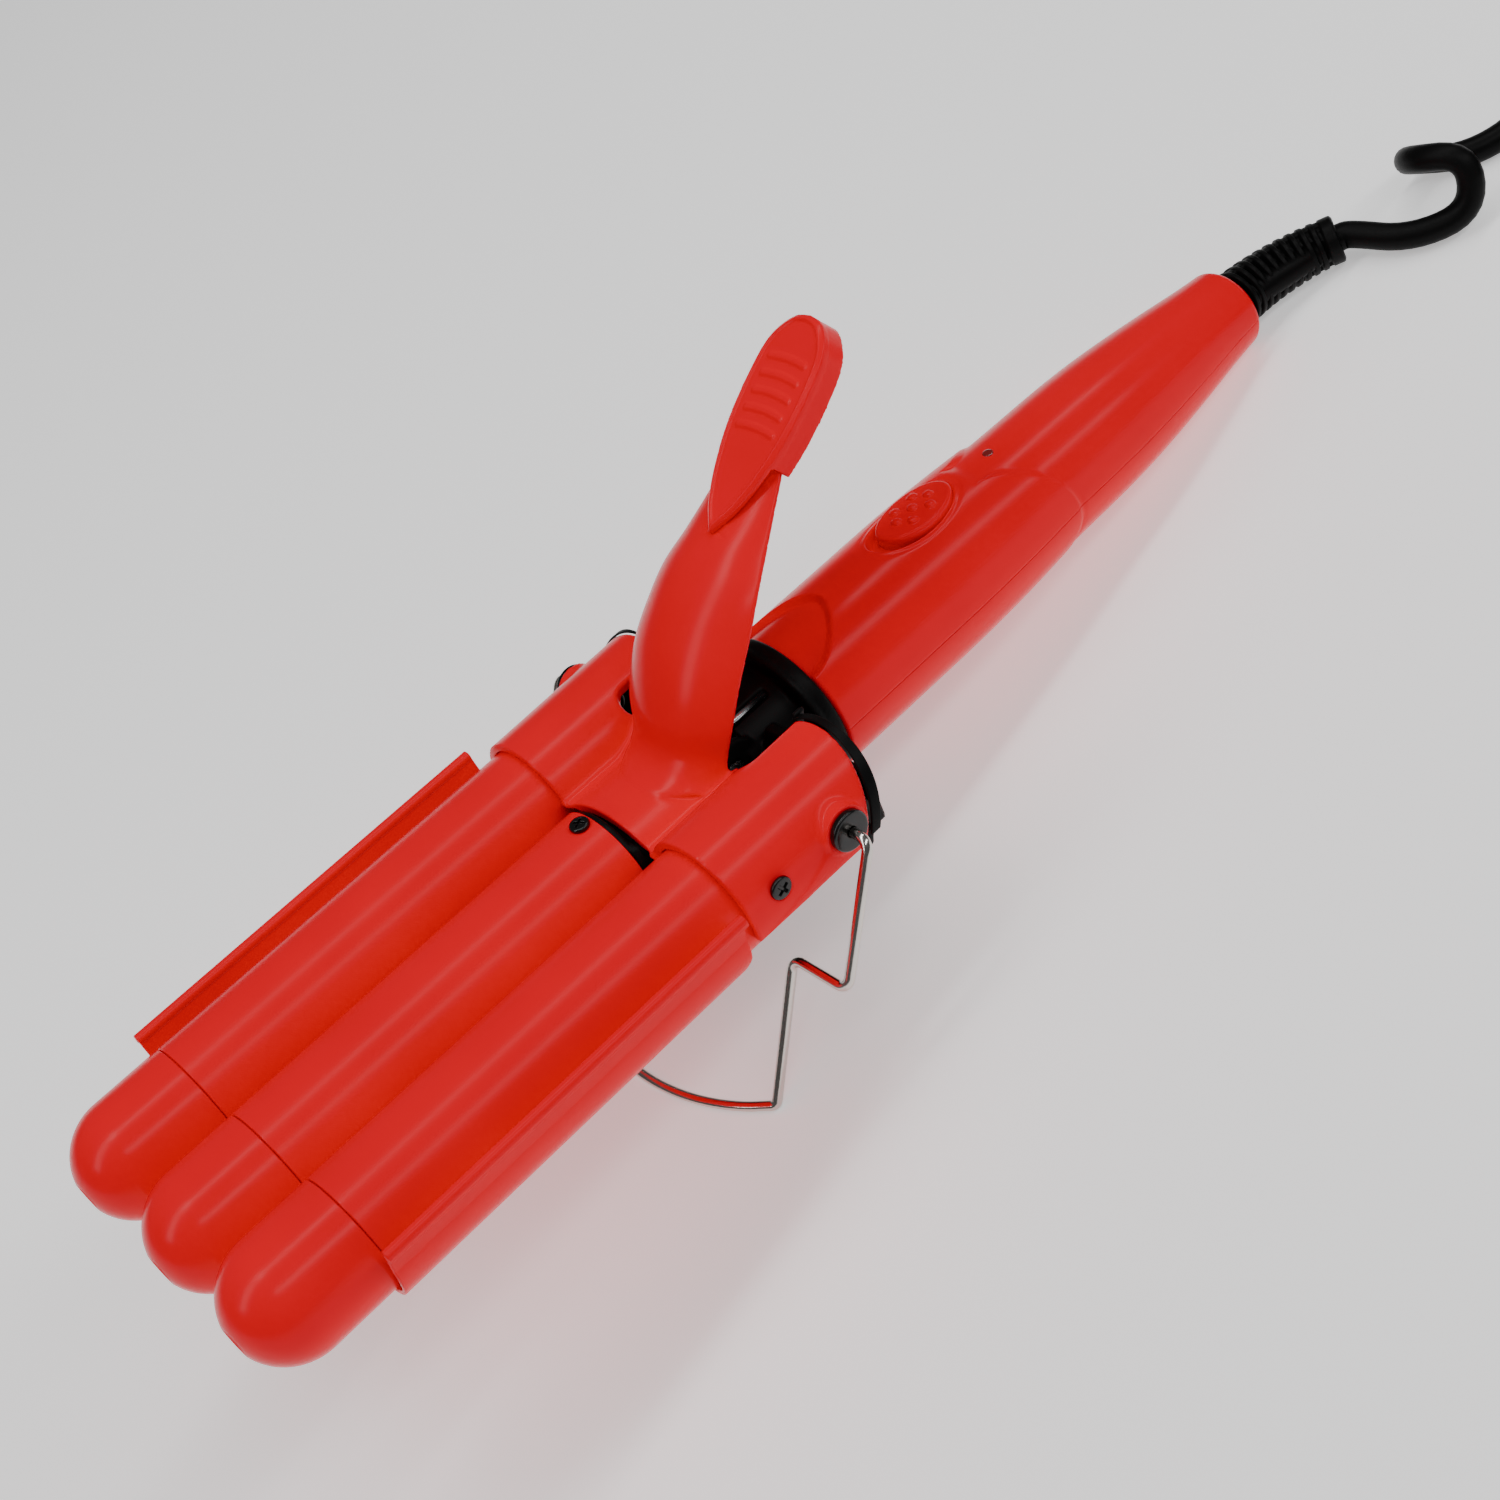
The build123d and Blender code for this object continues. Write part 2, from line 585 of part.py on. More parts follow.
def spring_coil(start, end):
    """Close-wound coil round the spring pin, drawn as the sleeve its turns fill."""
    outside = rod_y(spring_coil_radius + spring_wire, start, end, hinge_x, hinge_z)
    return outside - rod_y(spring_coil_radius - spring_wire, start - 1, end + 1, hinge_x, hinge_z)


def straight_wire(a, b, radius):
    line = Line(a, b)
    return wire_along(line, radius)


leg_start = (hinge_x + 2.6, leg_y, hinge_z + 3.4)
leg_knee = (neck_front + 1.5, leg_y, leg_z)
leg_path = FilletPolyline(leg_start, leg_knee, (leg_end_x, leg_y, leg_z), radius=2.0)
fixed_leg = wire_along(leg_path, spring_wire)
torsion_spring = spring_coil(3.4, 8.3) + fixed_leg
pieces["torsion_spring"] = Compound(children=[torsion_spring, mirrored(torsion_spring)])
arm_top = (110.5, 18.5)
arm_foot = (hinge_x - 3.4, hinge_z + 2.2)
spring_arm = spring_coil(-3.0, 3.0)
spring_arm += straight_wire((arm_foot[0], 2.2, arm_foot[1]), (arm_top[0], 2.2, arm_top[1]), spring_wire)
spring_arm += straight_wire((arm_foot[0], -2.2, arm_foot[1]), (arm_top[0], -2.2, arm_top[1]), spring_wire)
spring_arm += rod_y(spring_wire, -2.9, 2.9, *arm_top)
pieces["spring_arm"] = spring_arm


# ---- jaw plate, drawn in section (Y, Z) and extruded along X ----
def disc_ring(radius, y, z):
    half = plate_thickness / 2
    return Pos(y, z) * (Circle(radius + half) - Circle(radius - half))


def wedge(*points):
    return make_face(Polyline(*points, close=True))


trough_mid = trough_radius + plate_thickness / 2
hump_mid = barrel_radius + centre_plate_gap + plate_thickness / 2
to_trough = hypot(outer_y, centre_drop)
hump_reach = hump_mid + ridge_roll
trough_reach = trough_mid + ridge_roll
along = (hump_reach ** 2 - trough_reach ** 2 + to_trough ** 2) / (2 * to_trough)
aside = sqrt(hump_reach ** 2 - along ** 2)
ridge_y = (along * outer_y + aside * centre_drop) / to_trough
ridge_z = -centre_drop + (along * centre_drop - aside * outer_y) / to_trough
hump_ray = (ridge_y / hump_reach, (ridge_z + centre_drop) / hump_reach)
trough_ray = ((ridge_y - outer_y) / trough_reach, ridge_z / trough_reach)


def half_section():
    """Left half of the wavy sheet: half the hump, a rounded ridge, and a trough up to the barrel's height."""
    hump = disc_ring(hump_mid, 0, -centre_drop) & wedge(
        (0, -centre_drop), (40 * hump_ray[0], -centre_drop + 40 * hump_ray[1]), (40, -40), (0, -40))
    ridge = disc_ring(ridge_roll, ridge_y, ridge_z) & wedge(
        (ridge_y, ridge_z), (ridge_y - 5 * trough_ray[0], ridge_z - 5 * trough_ray[1]),
        (ridge_y + 5, ridge_z + 5), (ridge_y - 5, ridge_z + 5),
        (ridge_y - 5 * hump_ray[0], ridge_z - 5 * hump_ray[1]))
    trough = disc_ring(trough_mid, outer_y, 0) & wedge(
        (outer_y, 0), (outer_y + 40 * trough_ray[0], 40 * trough_ray[1]), (outer_y - 40, -40),
        (outer_y + 40, -40), (outer_y + 40, 0))
    return hump + ridge + trough


def lip_section():
    """Left lip: the trough's outer edge carried up and out, then rolled over."""
    half = plate_thickness / 2
    foot = outer_y + trough_mid
    wall = wedge((foot - half, -0.05), (foot + half, -0.05),
                 (lip_y + half, lip_top_z), (lip_y - half, lip_top_z))
    middle = lip_y + lip_roll
    roll = disc_ring(lip_roll, middle, lip_top_z) & Pos(middle, lip_top_z + 2) * Rectangle(8, 4)
    hem = Pos(middle + lip_roll, lip_top_z - 0.5) * Rectangle(plate_thickness, 1.0)
    return wall + roll + hem


def extruded(section, x0, x1):
    """A (Y, Z) section and its mirror image, extruded along X."""
    plane = Plane(origin=(x0, 0, 0), x_dir=(0, 1, 0), z_dir=(1, 0, 0))
    left = extrude(plane * section, amount=x1 - x0)
    return left + mirrored(left)


jaw_plate = extruded(half_section() + lip_section(), plate_front, plate_rear)
corner = 4.0
corner_cut = side_prism([(plate_rear - corner, -20), (plate_rear + 1, -20), (plate_rear + 1, corner - 8)],
                        outer_y + 3, lip_y + 10)
jaw_plate -= corner_cut + mirrored(corner_cut)
tongue_section = half_section() & Pos(tongue_half / 2, -20) * Rectangle(tongue_half, 40)
jaw_plate += extruded(tongue_section, plate_rear - 0.5, tongue_rear)
plate_screw_x = 97.0
plate_screw_y = outer_y
plate_screw_seat = -trough_radius
plate_screw = screw((plate_screw_x, plate_screw_y, plate_screw_seat), (0, 0, -1), 2.2, 0.6, 1.1, 3.6)
plate_hole = rod_z(1.1, -22, -8, plate_screw_x, plate_screw_y)
plate_hole += rod_z(2.2, plate_screw_seat, -8, plate_screw_x, plate_screw_y)
jaw_plate -= plate_hole + mirrored(plate_hole)
pieces["jaw_plate"] = jaw_plate - pieces["pivot_frame"]
pieces["pivot_frame"] -= plate_hole + mirrored(plate_hole)
pieces["plate_screws"] = Compound(children=[plate_screw, mirrored(plate_screw)])


# ---- handle ----
bulge_start = 172.0


def handle_front_radius_at(x):
    """Front part: straight, then easing in towards the step."""
    bulge = max(0.0, x - bulge_start)
    return handle_front_radius - 0.00115 * bulge ** 2


rear_points = [(190, 15.9), (204, 15.25), (214, 14.95), (222, 14.85), (230, 14.65), (238, 14.2), (246, 13.5),
               (254, 12.6), (262, 11.6), (270, 10.5), (tail_x - tail_round, tail_radius)]


def handle_body(inset):
    """Rear part of the handle, turned; `inset` smaller for the hollow inside."""
    def at(x, r):
        return (x, 0, handle_axis_z + r - inset)
    axis_start = (rear_points[0][0], 0, handle_axis_z)
    end_x = tail_x - inset
    axis_end = (end_x, 0, handle_axis_z)
    curve = Spline(*[at(x, r) for x, r in rear_points[:-1]], at(tail_x - tail_round - inset, tail_radius))
    corner_top = curve @ 1
    face_top = (end_x, 0, handle_axis_z + tail_radius - inset - tail_round)
    corner = tail_round * (1 - sqrt(0.5))
    rounding = ThreePointArc(corner_top, at(end_x - corner, tail_radius - corner), face_top)
    edges = [Line(axis_start, curve @ 0), curve, rounding, Polyline(face_top, axis_end, axis_start)]
    return turned_x(edges, 0, handle_axis_z)


def above_axis(x, radius):
    return (x, 0, handle_axis_z + radius)


front_end = step_x + 2
bulge_x = (bulge_start, 182, 192, 202, front_end)
front_curve = Spline(*[above_axis(x, handle_front_radius_at(x)) for x in bulge_x])
rim = 0.8
rim_corner = rim * (1 - sqrt(0.5))
rim_low = above_axis(handle_front, handle_front_radius - rim)
rim_middle = above_axis(handle_front + rim_corner, handle_front_radius - rim_corner)
rim_high = above_axis(handle_front + rim, handle_front_radius)
front_edges = [Line(above_axis(handle_front, 0), rim_low), ThreePointArc(rim_low, rim_middle, rim_high),
               Line(rim_high, front_curve @ 0), front_curve,
               Polyline(front_curve @ 1, above_axis(front_end, 0), above_axis(handle_front, 0))]
front_body = turned_x(front_edges, 0, handle_axis_z)
step_tip = step_x - step_radius
front_body &= rod_y(step_radius, -30, 30, step_tip, handle_axis_z) + block(130, step_tip, -30, 30, -30, 30)
mouth_end = 156.0
cavity = rod_x(handle_front_radius - handle_mouth_wall, handle_front - 1, mouth_end + 1, 0, handle_axis_z)
cavity += rod_x(15.0 - 0.2, mouth_end, 186, 0, handle_axis_z)
cavity += Pos(188, 0, handle_axis_z) * Rot(0, 90, 0) * Cone(14.8, 13.9, 4.0)
cavity += handle_body(handle_wall) & block(189.9, 300, -30, 30, -30, 30)
handle = front_body + handle_body(0) + rod_x(15.9, 180, 190.5, 0, handle_axis_z)
handle -= cavity
handle -= rod_x(tail_hole, tail_x - 6, tail_x + 1, 0, handle_axis_z)
pocket_slope = degrees(atan2(pocket_depth, pocket_length))
pocket_top = handle_axis_z + handle_front_radius
handle -= Pos(handle_front, 0, pocket_top - pocket_depth) * Rot(0, -pocket_slope, 0) * (
    Pos(0, 0, 5) * Box(2 * pocket_length + 2, 40, 10))
switch_plane_z = handle_axis_z + handle_front_radius_at(switch_x)


def oval(x, half_length, half_width, z0, z1):
    return Pos(x, 0, z0) * extrude(Ellipse(half_length, half_width), z1 - z0)


recess_floor = switch_plane_z - 2.4
recess_half = switch_half_length + switch_travel / 2 + switch_gap
handle -= oval(switch_x - switch_travel / 2, recess_half, switch_half_width + switch_gap, recess_floor, 40)
handle += oval(switch_x - switch_travel / 2, recess_half + 1.2, switch_half_width + switch_gap + 1.2,
               recess_floor - 1.4, recess_floor) & rod_x(15.5, 150, 200, 0, handle_axis_z)
stem_half = 2.0
stem_front = switch_x - switch_travel - stem_half - 0.3
stem_rear = switch_x + stem_half + 0.3
handle -= block(stem_front, stem_rear, -1.8, 1.8, recess_floor - 3, recess_floor + 1)
handle -= rod_z(lens_radius + 0.02, 8, 20, lens_x, 0)
handle_screw_x = (222.0, 248.0)
upper = handle & block(130, 300, -30, 30, handle_axis_z, 30)
lower = handle & block(130, 300, -30, 30, -30, handle_axis_z)
screw_boss_radius = 3.0
for x in handle_screw_x:
    boss = rod_z(screw_boss_radius, handle_axis_z - 14, handle_axis_z, x, 0) & handle_body(0.5)
    lower += boss
    boss_top = rod_z(screw_boss_radius, handle_axis_z, handle_axis_z + 14, x, 0) & handle_body(0.5)
    upper += boss_top
screws = []
for x in handle_screw_x:
    seat_z = handle_axis_z - 9.0
    screws.append(screw((x, 0, seat_z), (0, 0, 1), 2.4, 1.6, 1.3, 16.0))
    lower -= rod_z(2.6, -30, seat_z, x, 0) + rod_z(1.3, seat_z - 1, handle_axis_z + 1, x, 0)
    upper -= rod_z(1.3, handle_axis_z - 1, handle_axis_z + 7.0, x, 0)
pieces["handle_screws"] = Compound(children=screws)
neck_screw_x = 145.0
neck_screw_seat = handle_axis_z - handle_front_radius + 2.0
neck_screw = screw((neck_screw_x, 0, neck_screw_seat), (0, 0, 1), 2.2, 1.4, 1.2, 4.6)
neck_hole = rod_z(1.2, -30, -8, neck_screw_x, 0)
lower -= neck_hole + rod_z(2.4, -30, neck_screw_seat, neck_screw_x, 0)
pieces["pivot_frame"] -= neck_hole
pieces["neck_screw"] = neck_screw
pieces["handle_upper_shell"] = upper
pieces["handle_lower_shell"] = lower


# ---- slide switch, indicator and circuit board ----
def switch_button():
    """Oval slide with a crowned top, seven raised dots and a stem down into the switch."""
    top = switch_plane_z + switch_proud
    body = oval(switch_x, switch_half_length, switch_half_width, recess_floor + 0.1, top)
    crown_radius = 24.0
    body &= rod_x(crown_radius, 150, 210, 0, top - crown_radius)
    for row, y in ((0, -bump_pitch), (1, 0.0), (0, bump_pitch)):
        offsets = (-2 * bump_pitch * 0.9, 0.0, 2 * bump_pitch * 0.9) if row else (-bump_pitch, bump_pitch)
        for x in offsets:
            body += Pos(switch_x + x, y, top - 0.5) * Sphere(bump_radius)
    body += block(switch_x - stem_half, switch_x + stem_half, -1.5, 1.5, recess_floor - 3.4, recess_floor + 1)
    return body


pieces["switch_button"] = switch_button()
board_top = board_z + board_thickness
board_end = board_start + board_length
board = block(board_start, board_end, -board_width / 2, board_width / 2, board_z, board_top)
switch_box_top = recess_floor - 2.9
switch_body = block(switch_x - 11.5, switch_x + 8.5, -4.5, 4.5, board_top, switch_box_top)
switch_body -= block(stem_front, stem_rear, -1.8, 1.8, switch_box_top - 1.0, switch_box_top + 1)
pieces["switch_body"] = switch_body
pieces["indicator_lens"] = rod_z(lens_radius, 8.5, handle_axis_z + 15.35, lens_x, 0)
led_top = 8.4
led = rod_z(1.5, board_top, led_top - 1.5, lens_x, 0) + Pos(lens_x, 0, led_top - 1.5) * Sphere(1.5)
pieces["indicator_led"] = led
pieces["film_capacitor"] = block(board_start + 4.5, board_start + 11.5, -4.6, 4.6, board_top, board_top + 9.0)
triac = block(195.0, 199.0, -5, 5, board_top, board_top + 9.0)
pieces["triac"] = triac
board_screws = []
for x, y in ((board_start + 3.5, 7.2), (board_end - 3.5, -7.2)):
    post = rod_z(2.2, -16, board_z, x, y) & handle_body(0.5) if x > 190 else rod_z(2.2, -16, board_z, x, y)
    post &= rod_x(15.5 if x < 190 else 14.0, 140, 260, 0, handle_axis_z)
    pieces["handle_lower_shell"] += post
    hole = rod_z(1.0, board_z - 5, board_top + 1, x, y)
    board -= hole
    pieces["handle_lower_shell"] -= rod_z(1.0, board_z - 5, board_z + 1, x, y)
    board_screws.append(screw((x, y, board_top), (0, 0, -1), 1.9, 1.2, 1.0, 5.5))
pieces["circuit_board"] = board
pieces["board_screws"] = Compound(children=board_screws)

# thermostat on the rear of the centre heater, held in the barrel by the spreaders' ends
thermostat_start = heater_start + heater_length + 0.3
pieces["thermostat"] = block(thermostat_start, spigot_front - 0.3, -5, 5, -centre_drop - 3, -centre_drop + 3)

# lead wires: two heater leads from the spigot to the board, two mains leads from board to clamp
lead_radius = 0.9
clamp_start = 259.0
heater_leads = []
for y in (-1.2, 1.2):
    path = FilletPolyline((spigot_front + 0.2, y, -8), (128, y, -8), (140, 2.5 * y, -7),
                          (board_start - 5, 2 * y, board_top + lead_radius),
                          (board_start + 3.5, 2 * y, board_top + lead_radius), radius=[8, 6, 4])
    heater_leads.append(wire_along(path, lead_radius))
mains_leads = []
for y in (-1.2, 1.2):
    path = FilletPolyline((board_end - 8, 3 * y, board_top + lead_radius),
                          (board_end + 4, 3.6 * y, board_top + 1.4),
                          (board_end + 20, 3.6 * y, -1.8), (clamp_start - 3.5, 3.6 * y, handle_axis_z),
                          (clamp_start - 1.2, y, handle_axis_z), radius=[4, 10, 1.2])
    mains_leads.append(wire_along(path, lead_radius))
pieces["heater_leads"] = Compound(children=heater_leads)
pieces["mains_leads"] = Compound(children=mains_leads)

# ---- strain relief: a moulded sleeve bent sideways, flanged inside the handle's tail ----
lift = radians(relief_lift)
side_dir = Vector(0, -cos(lift), sin(lift))
relief_start = Vector(tail_x, 0, handle_axis_z)
relief_straight = 1.5


def relief_point(length):
    """Point and direction of the relief's centre line, `length` behind the tail's face."""
    if length <= relief_straight:
        return relief_start + Vector(length, 0, 0), Vector(1, 0, 0)
    angle = (length - relief_straight) / relief_bend_radius
    centre_line = relief_start + Vector(relief_straight + relief_bend_radius * sin(angle), 0, 0)
    centre_line += side_dir * (relief_bend_radius * (1 - cos(angle)))
    return centre_line, Vector(cos(angle), 0, 0) + side_dir * sin(angle)


def relief_disc(length, radius, thickness):
    point, direction = relief_point(length)
    return Plane(origin=point, z_dir=direction) * Pos(0, 0, thickness / 2) * Cylinder(radius, thickness)


bend_end, end_direction = relief_point(relief_length)
bend_mid = relief_point((relief_length + relief_straight) / 2)[0]
bend_start = relief_point(relief_straight)[0]
core_path = ThreePointArc(bend_start, bend_mid, bend_end)
relief = wire_along(core_path, relief_core) + rod_x(relief_core, tail_x - 8, tail_x + relief_straight, 0,
                                                    handle_axis_z)
rib_pitch = (relief_length - relief_collar) / relief_rib_count
for index in range(relief_rib_count):
    share = index / relief_rib_count
    radius = relief_base_radius + (relief_end_radius - relief_base_radius) * share
    relief += relief_disc(index * rib_pitch + 0.05, radius, rib_pitch * 0.62)
relief += relief_disc(relief_length - relief_collar, relief_end_radius, relief_collar)
relief += rod_x(tail_hole - slip, tail_x - 6, tail_x + 0.5, 0, handle_axis_z)
flange_radius = 7.2
relief += rod_x(flange_radius, tail_x - 8.5, tail_x - 6.2, 0, handle_axis_z)
pieces["handle_upper_shell"] -= rod_x(flange_radius + 0.1, tail_x - 8.6, tail_x - 6.1, 0, handle_axis_z)
pieces["handle_lower_shell"] -= rod_x(flange_radius + 0.1, tail_x - 8.6, tail_x - 6.1, 0, handle_axis_z)
relief -= wire_along(core_path, cord_radius)
relief -= rod_x(cord_radius, tail_x - 20, tail_x + relief_straight + 0.01, 0, handle_axis_z)
pieces["strain_relief"] = relief

# sheathed end of the lead inside the handle, and the clamp that holds it
inner_cord = rod_x(cord_radius, clamp_start, tail_x + relief_straight, 0, handle_axis_z)
inner_cord += wire_along(core_path, cord_radius)
clamp_bar = block(clamp_start + 0.5, clamp_start + 5.5, -7.0, 7.0, handle_axis_z + 0.3, handle_axis_z + 4.6)
clamp_bar -= rod_x(cord_radius, clamp_start - 1, clamp_start + 8, 0, handle_axis_z)
saddle = block(clamp_start + 0.5, clamp_start + 5.5, -7.0, 7.0, handle_axis_z - 9.4, handle_axis_z - 0.1)
saddle &= rod_x(11.0, clamp_start, clamp_start + 8, 0, handle_axis_z)
saddle -= rod_x(cord_radius, clamp_start - 1, clamp_start + 8, 0, handle_axis_z)
clamp_screws = []
for side in (-1, 1):
    point = (clamp_start + 3, side * 5.1, handle_axis_z + 4.6)
    clamp_screws.append(screw(point, (0, 0, -1), 1.7, 1.2, 0.9, 7.0))
    hole = rod_z(0.9, point[2] - 7.0, point[2] + 1, point[0], point[1])
    clamp_bar -= hole
    saddle -= hole
pieces["handle_lower_shell"] += saddle
pieces["cord_clamp"] = clamp_bar
pieces["cord_clamp_screws"] = Compound(children=clamp_screws)

# ---- wire stand ----
foot_x, foot_z = bail_foot


def wire_frame(ground_direction):
    """The stand's wire: pins in the pivot screws, legs that kick inwards, and a bowed foot."""
    gx, gz = ground_direction
    bow_x = foot_x - bail_bow * gx
    bow_z = foot_z - bail_bow * gz
    kick_x, kick_z = bail_kick
    right = [(hinge_x, -bail_pin_inner, hinge_z), (hinge_x, -bail_y, hinge_z), (kick_x, -bail_y, kick_z),
             (kick_x, -bail_kick_y, kick_z), (foot_x, -bail_kick_y, foot_z)]
    left = [(x, -y, z) for x, y, z in reversed(right)]
    bend = 2.6
    leg_right = FilletPolyline(*right, radius=bend)
    leg_left = FilletPolyline(*left, radius=bend)
    bow = ThreePointArc(right[-1], (bow_x, 0, bow_z), left[0])
    legs = wire_along(leg_right, bail_wire) + wire_along(leg_left, bail_wire)
    corners = Pos(*right[-1]) * Sphere(bail_wire) + Pos(*left[0]) * Sphere(bail_wire)
    return legs + corners + wire_along(bow, bail_wire)


# standing attitude: the line that touches the foot's wire and the tail's rounding from below
tail_centre = (tail_x - tail_round, handle_axis_z - tail_radius + tail_round)
span_x = tail_centre[0] - foot_x
span_z = tail_centre[1] - foot_z
span = hypot(span_x, span_z)
pitch = atan2(span_z, span_x) - asin((tail_round - bail_wire) / span)
ground = (cos(pitch), sin(pitch))
bail = wire_frame(ground)


def stand_key(side):
    """Flat key on the stand's pin, which stops in the pivot screw's keyway."""
    middle = side * (pivot_outer_face - key_depth / 2)
    key = Box(key_reach, key_depth, key_width)
    return Pos(hinge_x, middle, hinge_z) * Rot(0, -leg_angle, 0) * Pos(key_reach / 2, 0, 0) * key


bail += stand_key(1) + stand_key(-1)
pieces["bail_stand"] = bail

# ---- mains lead, its coil and its plug, in standing coordinates ----
def gathered(shape):
    """One compound of a piece's solids."""
    return Compound(children=list(shape.solids()))


pitch_degrees = degrees(pitch)
tip_up = Location((0, 0, 0), (0, pitch_degrees, 0))
pieces = {name: gathered(shape) for name, shape in pieces.items()}
boxes = [(tip_up * shape).bounding_box() for shape in pieces.values()]
low_z = min(box.min.Z for box in boxes)
mid_x = (min(box.min.X for box in boxes) + max(box.max.X for box in boxes)) / 2
print("pitch", round(pitch_degrees, 4), "shift", round(mid_x, 4), round(low_z, 4))
stand = Location((-mid_x, 0, -low_z)) * tip_up
parts = {name: stand * shape for name, shape in pieces.items()}


def in_part_frame(points):
    return [Vector(x - mid_x, y, z) for x, y, z in points]


def bent_path(points, name):
    """Straight runs joined by tangent arcs; each arc takes 0.45 of the shorter of its two runs."""
    radii = []
    for before, corner_point, after in zip(points, points[1:], points[2:]):
        incoming = corner_point - before
        outgoing = after - corner_point
        turn = radians(incoming.get_angle(outgoing))
        radii.append(0.45 * min(incoming.length, outgoing.length) / tan(turn / 2))
    print(name, "radii", [round(radius, 1) for radius in radii])
    return FilletPolyline(*points, radius=radii)


def transformed(point, direction):
    """A level point and direction in the part's frame."""
    lifted_point = Vector(point.X * cos(pitch) + point.Z * sin(pitch) - mid_x, point.Y,
                          -point.X * sin(pitch) + point.Z * cos(pitch) - low_z)
    lifted_direction = Vector(direction.X * cos(pitch) + direction.Z * sin(pitch), direction.Y,
                              -direction.X * sin(pitch) + direction.Z * cos(pitch))
    return lifted_point, lifted_direction


cord_exit, exit_direction = transformed(bend_end, end_direction)
lead_path = bent_path([cord_exit, cord_exit + exit_direction * 5.6] + in_part_frame(lead_points), "lead")
plug_path = bent_path(in_part_frame(plug_points), "plug lead")
outside_lead = wire_along(lead_path, cord_radius)
plug_lead = wire_along(plug_path, cord_radius)
for path, tube in ((lead_path, outside_lead), (plug_path, plug_lead)):
    print("tube", round(tube.volume, 1), "of", round(pi * cord_radius ** 2 * path.length, 1), tube.is_valid)

# the coil is the ring its turns fill: four on the floor and three nested on them
coil_x, coil_y = coil_centre[0] - mid_x, coil_centre[1]
lower_turns = (coil_turns + 1) / 2
lower_half = lower_turns * cord_radius
upper_half = (lower_turns - 1) * cord_radius
coil_top = coil_floor + 2 * cord_radius + cord_radius * sqrt(3)
lower_top = coil_floor + 1.4 * cord_radius


def coil_profile(grow):
    """Section of the coil in (radius, Z), `grow` larger all round."""
    lower = lower_half + grow
    upper = upper_half + grow
    top = coil_top + grow
    bottom = coil_floor - grow
    outline = Polyline((-lower, bottom), (lower, bottom), (lower, lower_top), (upper, top),
                       (-upper, top), (-lower, lower_top), close=True)
    section = fillet(make_face(outline).vertices(), 1.8 + grow)
    return Plane(origin=(coil_x + coil_middle, coil_y, 0), z_dir=(0, -1, 0), x_dir=(1, 0, 0)) * section


coil_axis = Axis((coil_x, coil_y, 0), (0, 0, 1))
coil = revolve(coil_profile(0), axis=coil_axis)
tie_band = revolve(coil_profile(coil_floor), axis=coil_axis) - coil
tie_angle = 140.0
tie_window = Rot(0, 0, tie_angle) * block(10, 60, -5, 5, -1, 20)
parts["cord_tie"] = tie_band & (Pos(coil_x, coil_y, 0) * tie_window)
parts["cord_coil"] = coil
inner_lead = stand * gathered(inner_cord)
parts["strain_relief"] = parts["strain_relief"] - outside_lead
parts["mains_cord"] = gathered(inner_lead + (outside_lead - coil) + (plug_lead - coil))

# flat two-pin plug lying on the coil; its pins are cast in by a thinner root
plug_x, plug_y, plug_z = (plug_points[-1][0] - mid_x, plug_points[-1][1], plug_points[-1][2])
plug_body = block(plug_x - plug_length, plug_x, plug_y - plug_width / 2, plug_y + plug_width / 2,
                  plug_z - plug_height / 2, plug_z + plug_height / 2)
plug_body = fillet(plug_body.edges().filter_by(Axis.X), 6.0)
plug_body = fillet(plug_body.faces().sort_by(Axis.X)[-1].edges(), 3.0)
plug_body += Pos(plug_x + plug_relief / 2 - 0.5, plug_y, plug_z) * Rot(0, 90, 0) * Cone(
    6.0, cord_radius + 1.2, plug_relief + 1)
plug_body -= plug_lead
pins = []
plug_front = plug_x - plug_length
for side in (-1, 1):
    pin_y = plug_y + side * plug_pin_spacing / 2
    pin = rod_x(plug_pin_radius, plug_front - plug_pin_length, plug_front, pin_y, plug_z)
    pin += rod_x(plug_pin_radius - 0.4, plug_front - 0.1, plug_front + plug_pin_root, pin_y, plug_z)
    plug_body -= pin
    pins.append(pin)
parts["plug_body"] = plug_body
parts["plug_pins"] = Compound(children=pins)

for name, shape in parts.items():
    export_step(gathered(shape), "parts/" + name + ".step")
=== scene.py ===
import json
from functools import reduce
from math import atan2, cos, hypot, pi, radians, sin, sqrt

import bmesh
import bpy
import numpy as np
from mathutils import Matrix


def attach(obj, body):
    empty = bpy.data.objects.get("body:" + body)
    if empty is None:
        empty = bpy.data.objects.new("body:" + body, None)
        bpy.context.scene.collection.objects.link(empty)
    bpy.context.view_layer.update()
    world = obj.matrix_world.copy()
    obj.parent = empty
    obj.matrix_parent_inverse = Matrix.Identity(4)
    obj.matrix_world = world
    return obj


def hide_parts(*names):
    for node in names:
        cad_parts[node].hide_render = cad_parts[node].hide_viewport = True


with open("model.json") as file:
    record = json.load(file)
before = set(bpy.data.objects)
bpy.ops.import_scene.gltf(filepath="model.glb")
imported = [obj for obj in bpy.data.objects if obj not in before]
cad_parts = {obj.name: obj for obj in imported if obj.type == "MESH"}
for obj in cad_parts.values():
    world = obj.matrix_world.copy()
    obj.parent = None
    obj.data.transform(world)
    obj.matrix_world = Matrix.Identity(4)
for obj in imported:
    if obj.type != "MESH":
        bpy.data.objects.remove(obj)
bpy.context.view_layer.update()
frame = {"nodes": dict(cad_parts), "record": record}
nodes = frame["nodes"]

